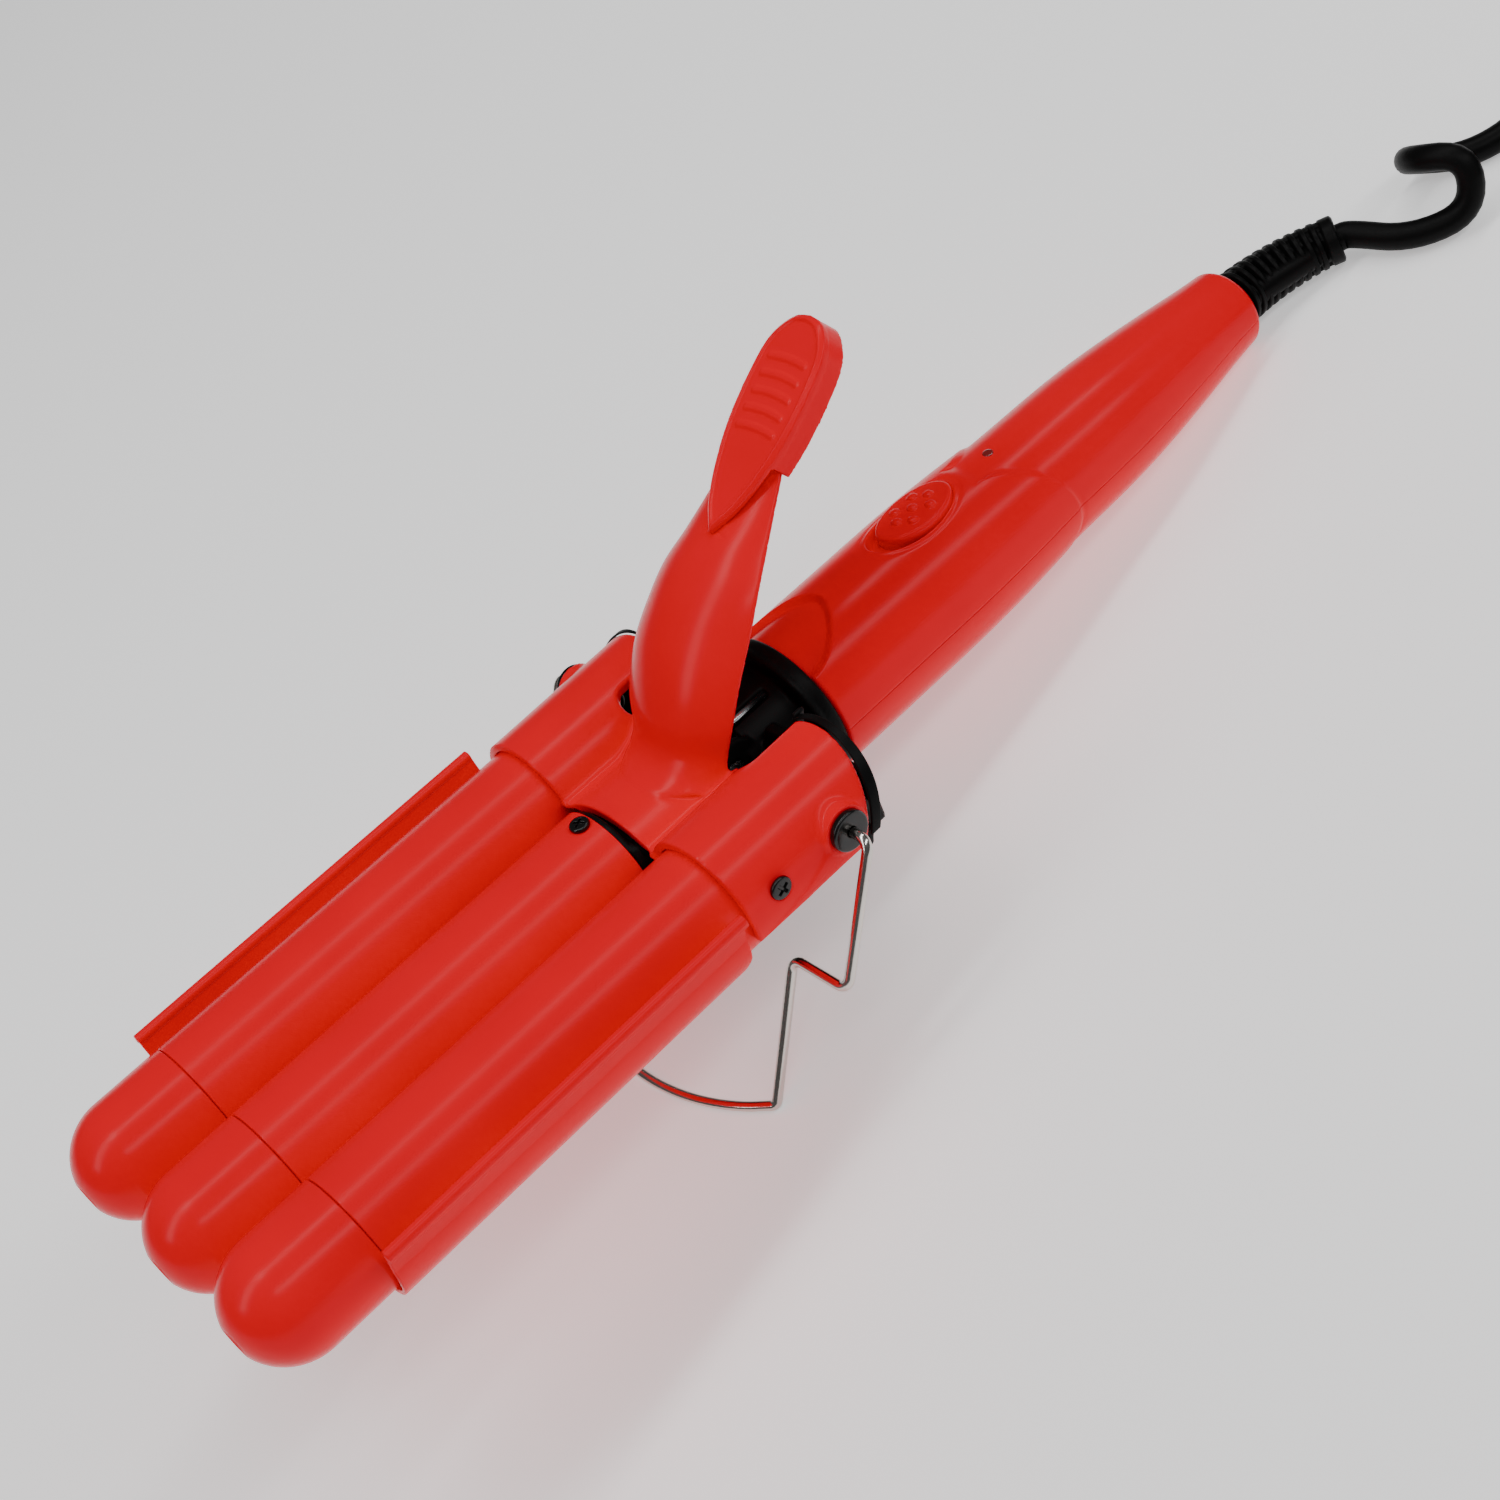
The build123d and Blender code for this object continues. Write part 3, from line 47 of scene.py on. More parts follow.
# ---- standing attitude ----
# The waver stands on its wire foot and on the tail of its handle, with its barrels raised. Pieces
# are worked out lying level in millimetres: X from the barrels' seams back along the handle, Y
# across the barrels, Z up from the outer barrels' axes. They are then tipped up, in metres.
PITCH = radians(11.4347)
ORIGIN_X, FLOOR_Z = 138.1102, -66.5965
HINGE = (114.5, 0.0, 4.0)


def tipped(points):
    """Level millimetres to standing metres: turn by the pitch about Y, then shift to the origin."""
    p = np.asarray(points, float)
    x = p[..., 0] * cos(PITCH) + p[..., 2] * sin(PITCH) - ORIGIN_X
    z = -p[..., 0] * sin(PITCH) + p[..., 2] * cos(PITCH) - FLOOR_Z
    return np.stack([x, p[..., 1], z], -1) / 1000

# ---- camera and studio ----
# A 59 mm lens above and in front of the barrels, rolled so that the waver runs from the lower left
# to the upper right. Three long soft lights give each barrel its narrow bands of light.
def placing(right, up, back, place):
    """The matrix of an object with these three axes at this place."""
    return Matrix([*np.column_stack([right, up, back, place]).tolist(), [0, 0, 0, 1]])


az, el, roll = radians(27.11), radians(40.21), radians(-24.03)
back = np.array([-sin(az) * cos(el), -cos(az) * cos(el), sin(el)])
level_right = np.cross(-back, (0, 0, 1.0))
level_right /= np.linalg.norm(level_right)
level_up = np.cross(level_right, -back)
right = cos(roll) * level_right + sin(roll) * level_up
up = -sin(roll) * level_right + cos(roll) * level_up
turn = np.array([[cos(PITCH), 0, sin(PITCH)], [0, 1, 0], [-sin(PITCH), 0, cos(PITCH)]])
axes = [turn @ right, turn @ up, turn @ back]
place = tipped((-48.7615, -337.7659, 316.8113))
camera = bpy.data.objects.new("camera", bpy.data.cameras.new("camera"))
camera.data.lens = 58.971
camera.data.sensor_width = 36
camera.data.clip_start = 0.01
camera.matrix_world = placing(*axes, place)
bpy.context.scene.collection.objects.link(camera)
bpy.context.scene.camera = camera


def soft_light(name, place, size, power, target=(0, 0, 0.05)):
    """A rectangular lamp of the given length and width, turned towards its target."""
    lamp = bpy.data.lights.new(name, "AREA")
    lamp.shape = "RECTANGLE"
    lamp.size, lamp.size_y = size
    lamp.energy = power
    light = bpy.data.objects.new(name, lamp)
    back = np.array(place) - target
    back /= np.linalg.norm(back)
    side = np.cross((0.0, 1.0, 0.001), back)
    side /= np.linalg.norm(side)
    light.matrix_world = placing(side, np.cross(back, side), back, place)
    bpy.context.scene.collection.objects.link(light)


soft_light("overhead softbox", (0.30, 0.09, 0.92), (1.3, 0.10), 3.4)
soft_light("key softbox", (0.30, -0.56, 0.78), (1.3, 0.12), 3.5)
soft_light("front softbox", (-0.48, 0.12, 0.80), (1.0, 0.15), 2.7, (0, 0, 0.08))
world = bpy.data.worlds.new("studio")
world.use_nodes = True
world.node_tree.nodes["Background"].inputs["Color"].default_value = (1, 1, 1, 1)
world.node_tree.nodes["Background"].inputs["Strength"].default_value = 0.1
bpy.context.scene.world = world

# ---- floor ----
# A plain white studio floor, far larger than the object. Its finish is made as all others are, but with no
# cloudy tone and no relief: only its gloss is uneven.
class Signal:
    """A shader socket that adds Math nodes when numbers or other signals are combined with it."""

    def __init__(self, tree, socket):
        self.tree, self.socket = tree, socket

    def math(self, operation, other):
        made = add_node(self.tree, "ShaderNodeMath", {"operation": operation}, {0: self, 1: other})
        return Signal(self.tree, made.outputs[0])

    def __add__(self, other):
        return self.math("ADD", other)

    def __mul__(self, other):
        return self.math("MULTIPLY", other)

    __radd__, __rmul__ = __add__, __mul__


def add_node(tree, kind, settings, inputs):
    """A node with its settings made first, then the values or links of its sockets."""
    made = tree.nodes.new(kind)
    for key, value in settings.items():
        if key == "stops":
            for element, (position, colour) in zip(made.color_ramp.elements, value):
                element.position = position
                element.color = (*colour, 1)
        else:
            setattr(made, key, value)
    for key, value in inputs.items():
        if isinstance(value, Signal):
            tree.links.new(value.socket, made.inputs[key])
        else:
            made.inputs[key].default_value = value
    return made


finishes = {}


def finish(slot, name, colour, rough, grain, relief, tone=0.06, spread=0.04, **sockets):
    """The material of a slot: cloudy tone, roughness varied by clouds and grain, grain as relief."""
    material = finishes[slot] = bpy.data.materials.new(name)
    material.use_nodes = True
    tree = material.node_tree
    shader = tree.nodes["Principled BSDF"]
    place = Signal(tree, tree.nodes.new("ShaderNodeTexCoord").outputs["Object"])
    cloudy, grainy = [
        Signal(tree, add_node(tree, "ShaderNodeTexNoise", {}, {
            "Vector": place, "Scale": scale, "Detail": detail}).outputs["Fac"])
        for scale, detail in ((40.0, 3.0), (grain, 2.0))]
    dark, light = [[min(1.0, c * (1 + change)) for c in colour] for change in (-tone, tone)]
    shade = add_node(tree, "ShaderNodeValToRGB", {"stops": [(0.3, dark), (0.7, light)]}, {"Fac": cloudy})
    tree.links.new(shade.outputs["Color"], shader.inputs["Base Color"])
    tree.links.new(((cloudy * 0.6 + grainy * 0.4) * (2 * spread) + (rough - spread)).socket,
                   shader.inputs["Roughness"])
    bump = add_node(tree, "ShaderNodeBump", {}, {"Strength": 0.6, "Distance": relief, "Height": grainy})
    tree.links.new(bump.outputs["Normal"], shader.inputs["Normal"])
    for key, value in sockets.items():
        shader.inputs[key.replace("_", " ")].default_value = value


floor_mesh = bpy.data.meshes.new("studio floor")
floor_mesh.from_pydata([(-6, -6, 0), (6, -6, 0), (6, 6, 0), (-6, 6, 0)], [], [(0, 1, 2, 3)])
floor = bpy.data.objects.new("studio_floor", floor_mesh)
bpy.context.scene.collection.objects.link(floor)
finish("floor", "floor", (0.93, 0.93, 0.93), 0.9, 50, 0.0, tone=0.0, Specular_IOR_Level=0.05,
       Emission_Color=(1, 1, 1, 1), Emission_Strength=0.5)
floor_mesh.materials.append(finishes["floor"])

# ---- barrels ----
# Three aluminium tubes, 25 mm across and 0.8 mm thick, stoved in red enamel. The outer two are held
# by the sleeves of the clamp and open with it; the middle one is screwed to the frame's spigot.
BARREL_R, BARREL_WALL, SPACING, CENTRE_DROP = 12.5, 0.8, 27.0, 1.0
OUTER_BARREL_END, CENTRE_BARREL_END = 104.0, 86.5
RED = (0.95, 0.0005, 0.014)
finish("red_enamel", "red enamel", RED, 0.24, 2200, 0.00002, tone=0.03, Specular_IOR_Level=0.08)


def add_piece(name, shape, body, slot, *replaced, placed=tipped):
    """A mesh from level points and faces, stood up, welded, turned outwards, smooth, riding on a body."""
    points, faces = shape
    mesh = bpy.data.meshes.new(name)
    mesh.from_pydata(placed(points).reshape(-1, 3).tolist(), [], faces)
    work = bmesh.new()
    work.from_mesh(mesh)
    bmesh.ops.remove_doubles(work, verts=work.verts, dist=1e-6)
    bmesh.ops.dissolve_degenerate(work, edges=work.edges, dist=1e-7)
    bmesh.ops.recalc_face_normals(work, faces=work.faces)
    work.to_mesh(mesh)
    work.free()
    mesh.shade_smooth()
    mesh.materials.append(finishes[slot])
    piece = bpy.data.objects.new(name, mesh)
    bpy.context.scene.collection.objects.link(piece)
    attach(piece, body)
    if replaced:
        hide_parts(*replaced)
    return piece


def grid_faces(rows, columns, wrap_rows=False, wrap_columns=False, start=0):
    """Quads between neighbouring points of a grid whose point (i, j) has the number i * columns + j."""
    i = np.arange(rows if wrap_rows else rows - 1)[:, None]
    j = np.arange(columns if wrap_columns else columns - 1)[None, :]
    i, j = np.broadcast_arrays(i, j)
    next_i, next_j = (i + 1) % rows, (j + 1) % columns
    row, next_row = i * columns, next_i * columns
    quads = np.stack([row + j, next_row + j, next_row + next_j, row + next_j], -1)
    return (quads.reshape(-1, 4) + start).tolist()


def eased(corners, radii, steps=6, closed=False):
    """A polyline whose corners are replaced by arcs of the given radii, as an array of points."""
    corners = np.asarray(corners, float)
    count = len(corners)
    radii = np.broadcast_to(radii, count)
    line = []
    for index in range(count):
        here = corners[index]
        if not closed and index in (0, count - 1) or radii[index] <= 0:
            line.append(here[None])
            continue
        a, b = corners[index - 1] - here, corners[(index + 1) % count] - here
        la, lb = np.linalg.norm(a), np.linalg.norm(b)
        a, b = a / la, b / lb
        half = np.arccos(np.clip(a @ b, -1, 1)) / 2
        if half > pi / 2 - 0.01:
            line.append(here[None])
            continue
        reach = min(radii[index] / np.tan(half), 0.49 * la, 0.49 * lb)
        radius = reach * np.tan(half)
        centre = here + (a + b) / np.linalg.norm(a + b) * radius / np.sin(half)
        first, last = here + a * reach - centre, here + b * reach - centre
        sweep = np.linspace(0, 1, steps + 1)[:, None] * (pi - 2 * half)
        span = pi - 2 * half
        line.append(centre + (np.sin(span - sweep) * first + np.sin(sweep) * last) / np.sin(span))
    return np.concatenate(line)


def turned(profile, y=0.0, z=0.0, around=144):
    """Points and faces of a closed (X, radius) profile turned about the axis along X through (y, z)."""
    profile = np.asarray(profile, float)
    angle = np.linspace(0, 2 * pi, around, endpoint=False)
    x = np.broadcast_to(profile[:, None, 0], (len(profile), around))
    radius = profile[:, None, 1]
    points = np.stack([x, y + radius * np.sin(angle), z + radius * np.cos(angle)], -1)
    return points, grid_faces(len(profile), around, True, True)


def barrel_profile(end):
    """The wall's four corners, eased."""
    inside = BARREL_R - BARREL_WALL
    return eased([(0, inside), (0, BARREL_R), (end, BARREL_R), (end, inside)], 0.3, steps=4, closed=True)


for name, y, z, end, body in (("left_barrel", SPACING, 0, OUTER_BARREL_END, "clamp"),
                              ("right_barrel", -SPACING, 0, OUTER_BARREL_END, "clamp"),
                              ("centre_barrel", 0, -CENTRE_DROP, CENTRE_BARREL_END, "waver_body")):
    add_piece(name + "_tube", turned(barrel_profile(end), y, z), body, "red_enamel", name)

# ---- end caps ----
# Moulded domed caps of the barrels' own diameter, pushed into their ends by a spigot. A thin seam
# is left between cap and barrel, and each tip has a shallow round dimple from its gate.
CAP_STRAIGHT, SEAM, DIMPLE_R, DIMPLE_DEPTH = 15.5, 0.2, 3.1, 1.7
finish("red_plastic", "red moulded plastic", RED, 0.2, 1400, 0.000012, tone=0.03, Specular_IOR_Level=0.08)


def cap_profile():
    """Spigot, shoulder at the seam, straight collar, dome, dimple with an eased rim, and the hollow."""
    spigot, hollow = BARREL_R - BARREL_WALL - 0.1, BARREL_R - BARREL_WALL - 1.9
    shoulder = eased([(9, spigot), (-SEAM, spigot), (-SEAM, BARREL_R), (-CAP_STRAIGHT, BARREL_R)], 0.3, 4)
    edge = np.arcsin(DIMPLE_R / BARREL_R)
    t = np.linspace(pi / 2, edge + 0.03, 40)[1:]
    dome = np.stack([-CAP_STRAIGHT - BARREL_R * np.cos(t), BARREL_R * np.sin(t)], -1)
    bowl_r = (DIMPLE_R ** 2 + DIMPLE_DEPTH ** 2) / (2 * DIMPLE_DEPTH)
    rim_x = -CAP_STRAIGHT - BARREL_R * cos(edge)
    t = np.linspace(np.arcsin(DIMPLE_R / bowl_r) * 0.92, 0, 12)
    bowl = np.stack([rim_x + DIMPLE_DEPTH - bowl_r + bowl_r * np.cos(t), bowl_r * np.sin(t)], -1)
    t = np.linspace(0, pi / 2, 16)
    inside = np.stack([-CAP_STRAIGHT - hollow * np.cos(t), hollow * np.sin(t)], -1)
    return np.concatenate([shoulder[:-1], dome, bowl, inside, [(9, hollow)]])


for name, y, z, body in (("left_end_cap", SPACING, 0, "clamp"), ("right_end_cap", -SPACING, 0, "clamp"),
                         ("centre_end_cap", 0, -CENTRE_DROP, "waver_body")):
    add_piece(name + "_dome", turned(cap_profile(), y, z), body, "red_plastic", name)

# ---- jaw plate ----
# One sheet of 1 mm aluminium, pressed into two troughs and a middle hump with rounded ridges between,
# and enamelled red. Its outer edges rise and roll over. A tongue carries it on the frame's floor.
PLATE = 1.0
TROUGH_R, HUMP_R, RIDGE_R = BARREL_R + 1.4, BARREL_R + 0.8, 0.87
LIP_Y, LIP_TOP, LIP_ROLL = 43.0, 7.2, 0.75


def plate_line(tongue=False):
    """Middle line of the sheet in (Y, Z), from its middle to the left edge, as tangent arcs."""
    apart = hypot(SPACING, CENTRE_DROP)
    a, b = HUMP_R + RIDGE_R, TROUGH_R + RIDGE_R
    along = (a * a - b * b + apart * apart) / (2 * apart)
    aside = sqrt(a * a - along * along)
    ridge = np.array([(along * SPACING + aside * CENTRE_DROP) / apart,
                      -CENTRE_DROP + (along * CENTRE_DROP - aside * SPACING) / apart])
    to_hump = atan2(ridge[1] + CENTRE_DROP, ridge[0])
    to_trough = atan2(ridge[1], ridge[0] - SPACING)
    t = np.linspace(-pi / 2, to_hump, 24)
    hump = np.stack([HUMP_R * np.cos(t), -CENTRE_DROP + HUMP_R * np.sin(t)], -1)
    t = np.linspace(to_hump + pi, to_trough % (2 * pi) - pi, 16)
    crown = ridge + RIDGE_R * np.stack([np.cos(t), np.sin(t)], -1)
    stop = -0.01 if not tongue else -pi / 2 + np.arcsin(2.2 / TROUGH_R)
    t = np.linspace(to_trough % (2 * pi) - 2 * pi, stop, 48)
    trough = np.stack([SPACING + TROUGH_R * np.cos(t), TROUGH_R * np.sin(t)], -1)
    line = [hump, crown[1:-1], trough]
    if not tongue:
        lip = eased([(SPACING + TROUGH_R, 0.3), (LIP_Y, LIP_TOP - 0.6), (LIP_Y + 0.1, LIP_TOP)], [0, 3, 0], 4)
        t = np.linspace(pi, 0, 10)
        roll_over = np.stack([LIP_Y + LIP_ROLL + LIP_ROLL * np.cos(t), LIP_TOP + LIP_ROLL * np.sin(t)], -1)
        line += [lip[:-1], roll_over, [(LIP_Y + 2 * LIP_ROLL, LIP_TOP - 0.9)]]
    half = np.concatenate(line)
    return np.concatenate([half[:0:-1] * (-1, 1), half])


def sheet(line, start, end):
    """The sheet along a (Y, Z) line from X = start to X = end. Round it goes a profile of distances from
    the end and heights from the middle line, with eased rims; strips close the two long edges."""
    along = np.gradient(line, axis=0)
    along /= np.linalg.norm(along, axis=1)[:, None]
    normal = np.stack([-along[:, 1], along[:, 0]], -1)
    half, ease = PLATE / 2, 0.25
    rim = [(0.0, half - ease), (0.08, half - 0.08), (ease, half)]
    profile = rim + [(0.5, half), (0.5, half)] + rim[::-1]
    profile += [(x, -h) for x, h in profile[::-1]]
    rows, columns = len(profile), len(line)
    layers = []
    for index, (inset, height) in enumerate(profile):
        x = start + inset if index < 4 or index >= rows - 4 else end - inset
        layers.append(np.column_stack([np.broadcast_to(x, columns), line + normal * height]))
    faces = grid_faces(rows, columns, True, False)
    for column in (0, columns - 1):
        ring = [row * columns + column for row in range(rows)]
        for k in range(rows // 2 - 1):
            faces.append([ring[k], ring[k + 1], ring[rows - 2 - k], ring[rows - 1 - k]])
    return np.stack(layers), faces


wave = plate_line()
rear_cut = 86.5 - 4.0 * np.clip((-6.0 - wave[:, 1]) / 9.0, 0, 1) * (np.abs(wave[:, 0]) > 30)
add_piece("wavy_jaw_plate", sheet(wave, -1.0, rear_cut), "waver_body", "red_enamel", "jaw_plate")
tongue_line = plate_line(tongue=True)
for side, name in ((-1, "right"), (1, "left")):
    strip = tongue_line[tongue_line[:, 0] * side > 11.3]
    add_piece("jaw_plate_tongue_" + name, sheet(strip, 86.0, 104.0), "waver_body", "red_enamel")

# ---- clamp cover: sleeves, bridge and lever ----
# One moulding holds the two outer barrels in its sleeves, spans the middle one with a low bridge, and
# rises behind it as a curved thumb lever. Slots part the lever's root from the sleeves behind the
# bridge. It swings on the two pivot screws, through a boss on each sleeve.
def smooth_union(a, b, soft):
    """The nearer of two fields, rounded off where they are within `soft` of each other."""
    h = np.clip(0.5 + 0.5 * (b - a) / soft, 0, 1)
    return b + (a - b) * h - soft * h * (1 - h)


def cut_by(a, b, soft=0.3):
    """Field a without field b's inside, with an eased edge."""
    return -smooth_union(-a, b, soft)


def kept_in(a, b, soft=0.3):
    """The inside common to both fields, with an eased edge."""
    return -smooth_union(-a, -b, soft)


def joined(*fields):
    """The inside of any of the fields."""
    return reduce(np.minimum, fields)


def common(*fields):
    """The inside that all the fields share; a minus sign before a field takes its inside away."""
    return reduce(np.maximum, fields)


def box_field(p, x0, x1, y0, y1, z0, z1):
    """Signed distance from a block."""
    centre = np.array([x0 + x1, y0 + y1, z0 + z1], np.float32) / 2
    half = np.array([x1 - x0, y1 - y0, z1 - z0], np.float32) / 2
    q = np.abs(p - centre) - half
    return np.linalg.norm(np.maximum(q, 0), axis=-1) + np.minimum(q.max(-1), 0)


def rod_field(p, axis, radius, start, end, a=0.0, b=0.0):
    """Signed distance from a rod along axis 0, 1 or 2; a and b place it on the two other axes."""
    others = [k for k in range(3) if k != axis]
    d = np.hypot(p[..., others[0]] - a, p[..., others[1]] - b) - radius
    e = np.abs(p[..., axis] - (start + end) / 2) - (end - start) / 2
    return np.hypot(np.maximum(d, 0), np.maximum(e, 0)) + np.minimum(np.maximum(d, e), 0)


def spread_sides(p):
    """X, the distance |Y| from the middle plane, and Z, and the three together: both sides are alike."""
    p = np.stack([p[..., 0], np.abs(p[..., 1]), p[..., 2]], -1)
    return (*np.moveaxis(p, -1, 0), p)


def looked_up(chart, low, step, u, v):
    """Value at (u, v) between the four nearest points of a chart that starts at `low`."""
    u = np.clip((u - low[0]) / step, 0, chart.shape[0] - 1.001)
    v = np.clip((v - low[1]) / step, 0, chart.shape[1] - 1.001)
    i, j = u.astype(int), v.astype(int)
    f, g = u - i, v - j
    return ((1 - f) * (1 - g) * chart[i, j] + f * (1 - g) * chart[i + 1, j]
            + (1 - f) * g * chart[i, j + 1] + f * g * chart[i + 1, j + 1])


def skinned(field, low, high, step):
    """Points and quads of a field's zero surface: one point in each cell that it crosses, then evened
    out between its neighbours and moved onto the surface along the field's slope."""
    low = np.array(low, np.float32)
    counts = np.ceil((np.array(high) - low) / step).astype(int) + 1
    grid = [low[k] + step * np.arange(counts[k], dtype=np.float32) for k in range(3)]
    value = np.empty(counts, np.float32)
    slab = max(1, int(400000 / (counts[1] * counts[2])))
    for first in range(0, counts[0], slab):
        xs = grid[0][first:first + slab]
        block = np.stack(np.meshgrid(xs, grid[1], grid[2], indexing="ij"), -1)
        value[first:first + slab] = field(block)
    inside = value < 0
    cell = np.zeros(counts - 1, np.int8)
    corners = [(i, j, k) for i in (0, 1) for j in (0, 1) for k in (0, 1)]
    for i, j, k in corners:
        cell += inside[i:counts[0] - 1 + i, j:counts[1] - 1 + j, k:counts[2] - 1 + k]
    index = np.argwhere((cell > 0) & (cell < 8))
    number = np.full(counts - 1, -1, np.int64)
    number[tuple(index.T)] = np.arange(len(index))
    total = np.zeros((len(index), 3), np.float64)
    hits = np.zeros(len(index))
    for i, j, k in corners:
        for axis in range(3):
            if (i, j, k)[axis]:
                continue
            a = index + (i, j, k)
            b = a + np.eye(3, dtype=int)[axis]
            va, vb = value[tuple(a.T)], value[tuple(b.T)]
            cross = (va < 0) != (vb < 0)
            share = np.where(cross, va / np.where(cross, va - vb, 1), 0)
            point = a + share[:, None] * np.eye(3)[axis]
            total += np.where(cross[:, None], point, 0)
            hits += cross
    points = low + step * total / hits[:, None]
    faces = []
    for axis in range(3):
        others = [k for k in range(3) if k != axis]
        a = inside[tuple(slice(0, -1) if k == axis else slice(1, -1) for k in range(3))]
        b = inside[tuple(slice(1, None) if k == axis else slice(1, -1) for k in range(3))]
        at = np.argwhere(a != b)
        at[:, others] += 1
        leaving = a[a != b]
        ring = []
        for da, db in ((1, 1), (0, 1), (0, 0), (1, 0)):
            c = at.copy()
            c[:, others[0]] -= da
            c[:, others[1]] -= db
            ring.append(number[tuple(c.T)])
        quad = np.stack(ring, -1)
        flip = leaving if axis != 1 else ~leaving
        quad[~flip] = quad[~flip][:, ::-1]
        faces.append(quad)
    faces = np.concatenate(faces)
    for even_out in (0.5, 0.5, 0.3, 0):
        if even_out:
            around, count = np.zeros_like(points), np.zeros(len(points))
            for shift in (1, 3):
                np.add.at(around, faces, points[np.roll(faces, shift, 1)])
                np.add.at(count, faces, 1)
            points = points + even_out * (around / np.maximum(count, 1)[:, None] - points)
        home = points
        for _ in range(1 if even_out else 2):
            slope = np.stack([field(points + h) - field(points - h) for h in np.eye(3) * 0.02], -1) / 0.04
            size = np.maximum((slope ** 2).sum(-1), 0.2)
            points = points - slope * (field(points) / size)[:, None]
            points = home + np.clip(points - home, -0.5 * step, 0.5 * step)
    return points, faces.tolist()


SLEEVE_R, SLEEVE_FLARE, SHELL, ARCH_DROP, SLEEVE_SCREW = 14.4, 0.5, 2.2, 12.8, (97.3, 3.8)
REAR_X, REAR_LEAN, LEAN_LENGTH = 119.25, 0.425, hypot(1, 0.425)
HINGE_XZ = HINGE[0], HINGE[2]
PAD_TIP, PAD_ANGLE = (134.7, 45.9), radians(31.9)
lever_table = np.array([
    (99.0, 9.7, 109.5, 5.6, 13.6), (104.6, 12.9, 112.0, 11.6, 14.6), (107.6, 20.0, 114.6, 17.4, 16.0),
    (113.4, 28.6, 119.9, 25.0, 16.3), (120.4, 35.4, 126.0, 31.2, 15.6), (127.0, 40.2, 131.4, 36.2, 14.4),
    (133.6, 44.0, 137.6, 40.6, 12.2), (141.0, 47.6, 144.2, 45.6, 10.2), (149.0, 52.2, 151.0, 50.9, 8.4)])


def smooth_table(table, t):
    """Catmull-Rom interpolation of a table's rows at t from 0 to 1."""
    rows = np.concatenate([2 * table[:1] - table[1:2], table, 2 * table[-1:] - table[-2:-1]])
    u = np.clip(t, 0, 1) * (len(table) - 1)
    i = np.minimum(u.astype(int), len(table) - 2)
    f = (u - i)[..., None]
    a, b, c, d = rows[i], rows[i + 1], rows[i + 2], rows[i + 3]
    return 0.5 * (2 * b + (c - a) * f + (2 * a - 5 * b + 4 * c - d) * f ** 2
                  + (3 * b - a - 3 * c + d) * f ** 3)


LEVER_LOW, LEVER_STEP = (90.0, -4.0), 0.5


def lever_chart():
    """How far along the lever each point of the middle plane lies, from 0 to 1: the cross line that passes
    nearest to it, with the part between two lines by their distances, evened out over the chart."""
    stations = 240
    fine = smooth_table(lever_table, np.linspace(0, 1, stations + 1))
    crest, run = fine[:, 0:2], fine[:, 2:4] - fine[:, 0:2]
    depth = np.linalg.norm(run, axis=1)
    run = run / depth[:, None]
    x, z = np.meshgrid(LEVER_LOW[0] + LEVER_STEP * np.arange(132), LEVER_LOW[1] + LEVER_STEP * np.arange(124),
                       indexing="ij")
    away_x, away_z = x[..., None] - crest[:, 0], z[..., None] - crest[:, 1]
    across = away_x * run[:, 1] - away_z * run[:, 0]
    inward = away_x * run[:, 0] + away_z * run[:, 1]
    beyond = np.maximum(0, -inward - 4) + np.maximum(0, inward - depth - 4)
    nearest = np.clip(np.argmin(np.abs(across) + 0.35 * beyond, axis=-1), 1, stations - 1)
    before, at, after = [np.take_along_axis(across, nearest[..., None] + k, -1)[..., 0] for k in (-1, 0, 1)]
    slope = (after - before) / 2
    chart = (nearest - np.clip(at / np.where(np.abs(slope) < 1e-6, 1e-6, slope), -12, 12)) / stations
    for _ in range(6):
        wide = np.pad(chart, 1, mode="edge")
        chart = (wide[:-2, 1:-1] + wide[2:, 1:-1] + wide[1:-1, :-2] + wide[1:-1, 2:] + 4 * chart) / 8
    return chart


along_lever = lever_chart()


def lever_field(p):
    """Shell of the lever: in each cross plane an arc through the crest and the two edges, open behind."""
    t = looked_up(along_lever, LEVER_LOW, LEVER_STEP, p[..., 0], p[..., 2])
    cx, cz, ex, ez, w = np.moveaxis(smooth_table(lever_table, t), -1, 0)
    d = np.hypot(ex - cx, ez - cz)
    ux, uz = (ex - cx) / d, (ez - cz) / d
    depth_in = (p[..., 0] - cx) * ux + (p[..., 2] - cz) * uz
    radius = (w * w + d * d) / (2 * d)
    ring = np.abs(np.hypot(p[..., 1], depth_in - radius) - (radius - SHELL / 2)) - SHELL / 2
    return common(kept_in(ring, depth_in - d, 1.0), common(-t, t - 1) * 60)


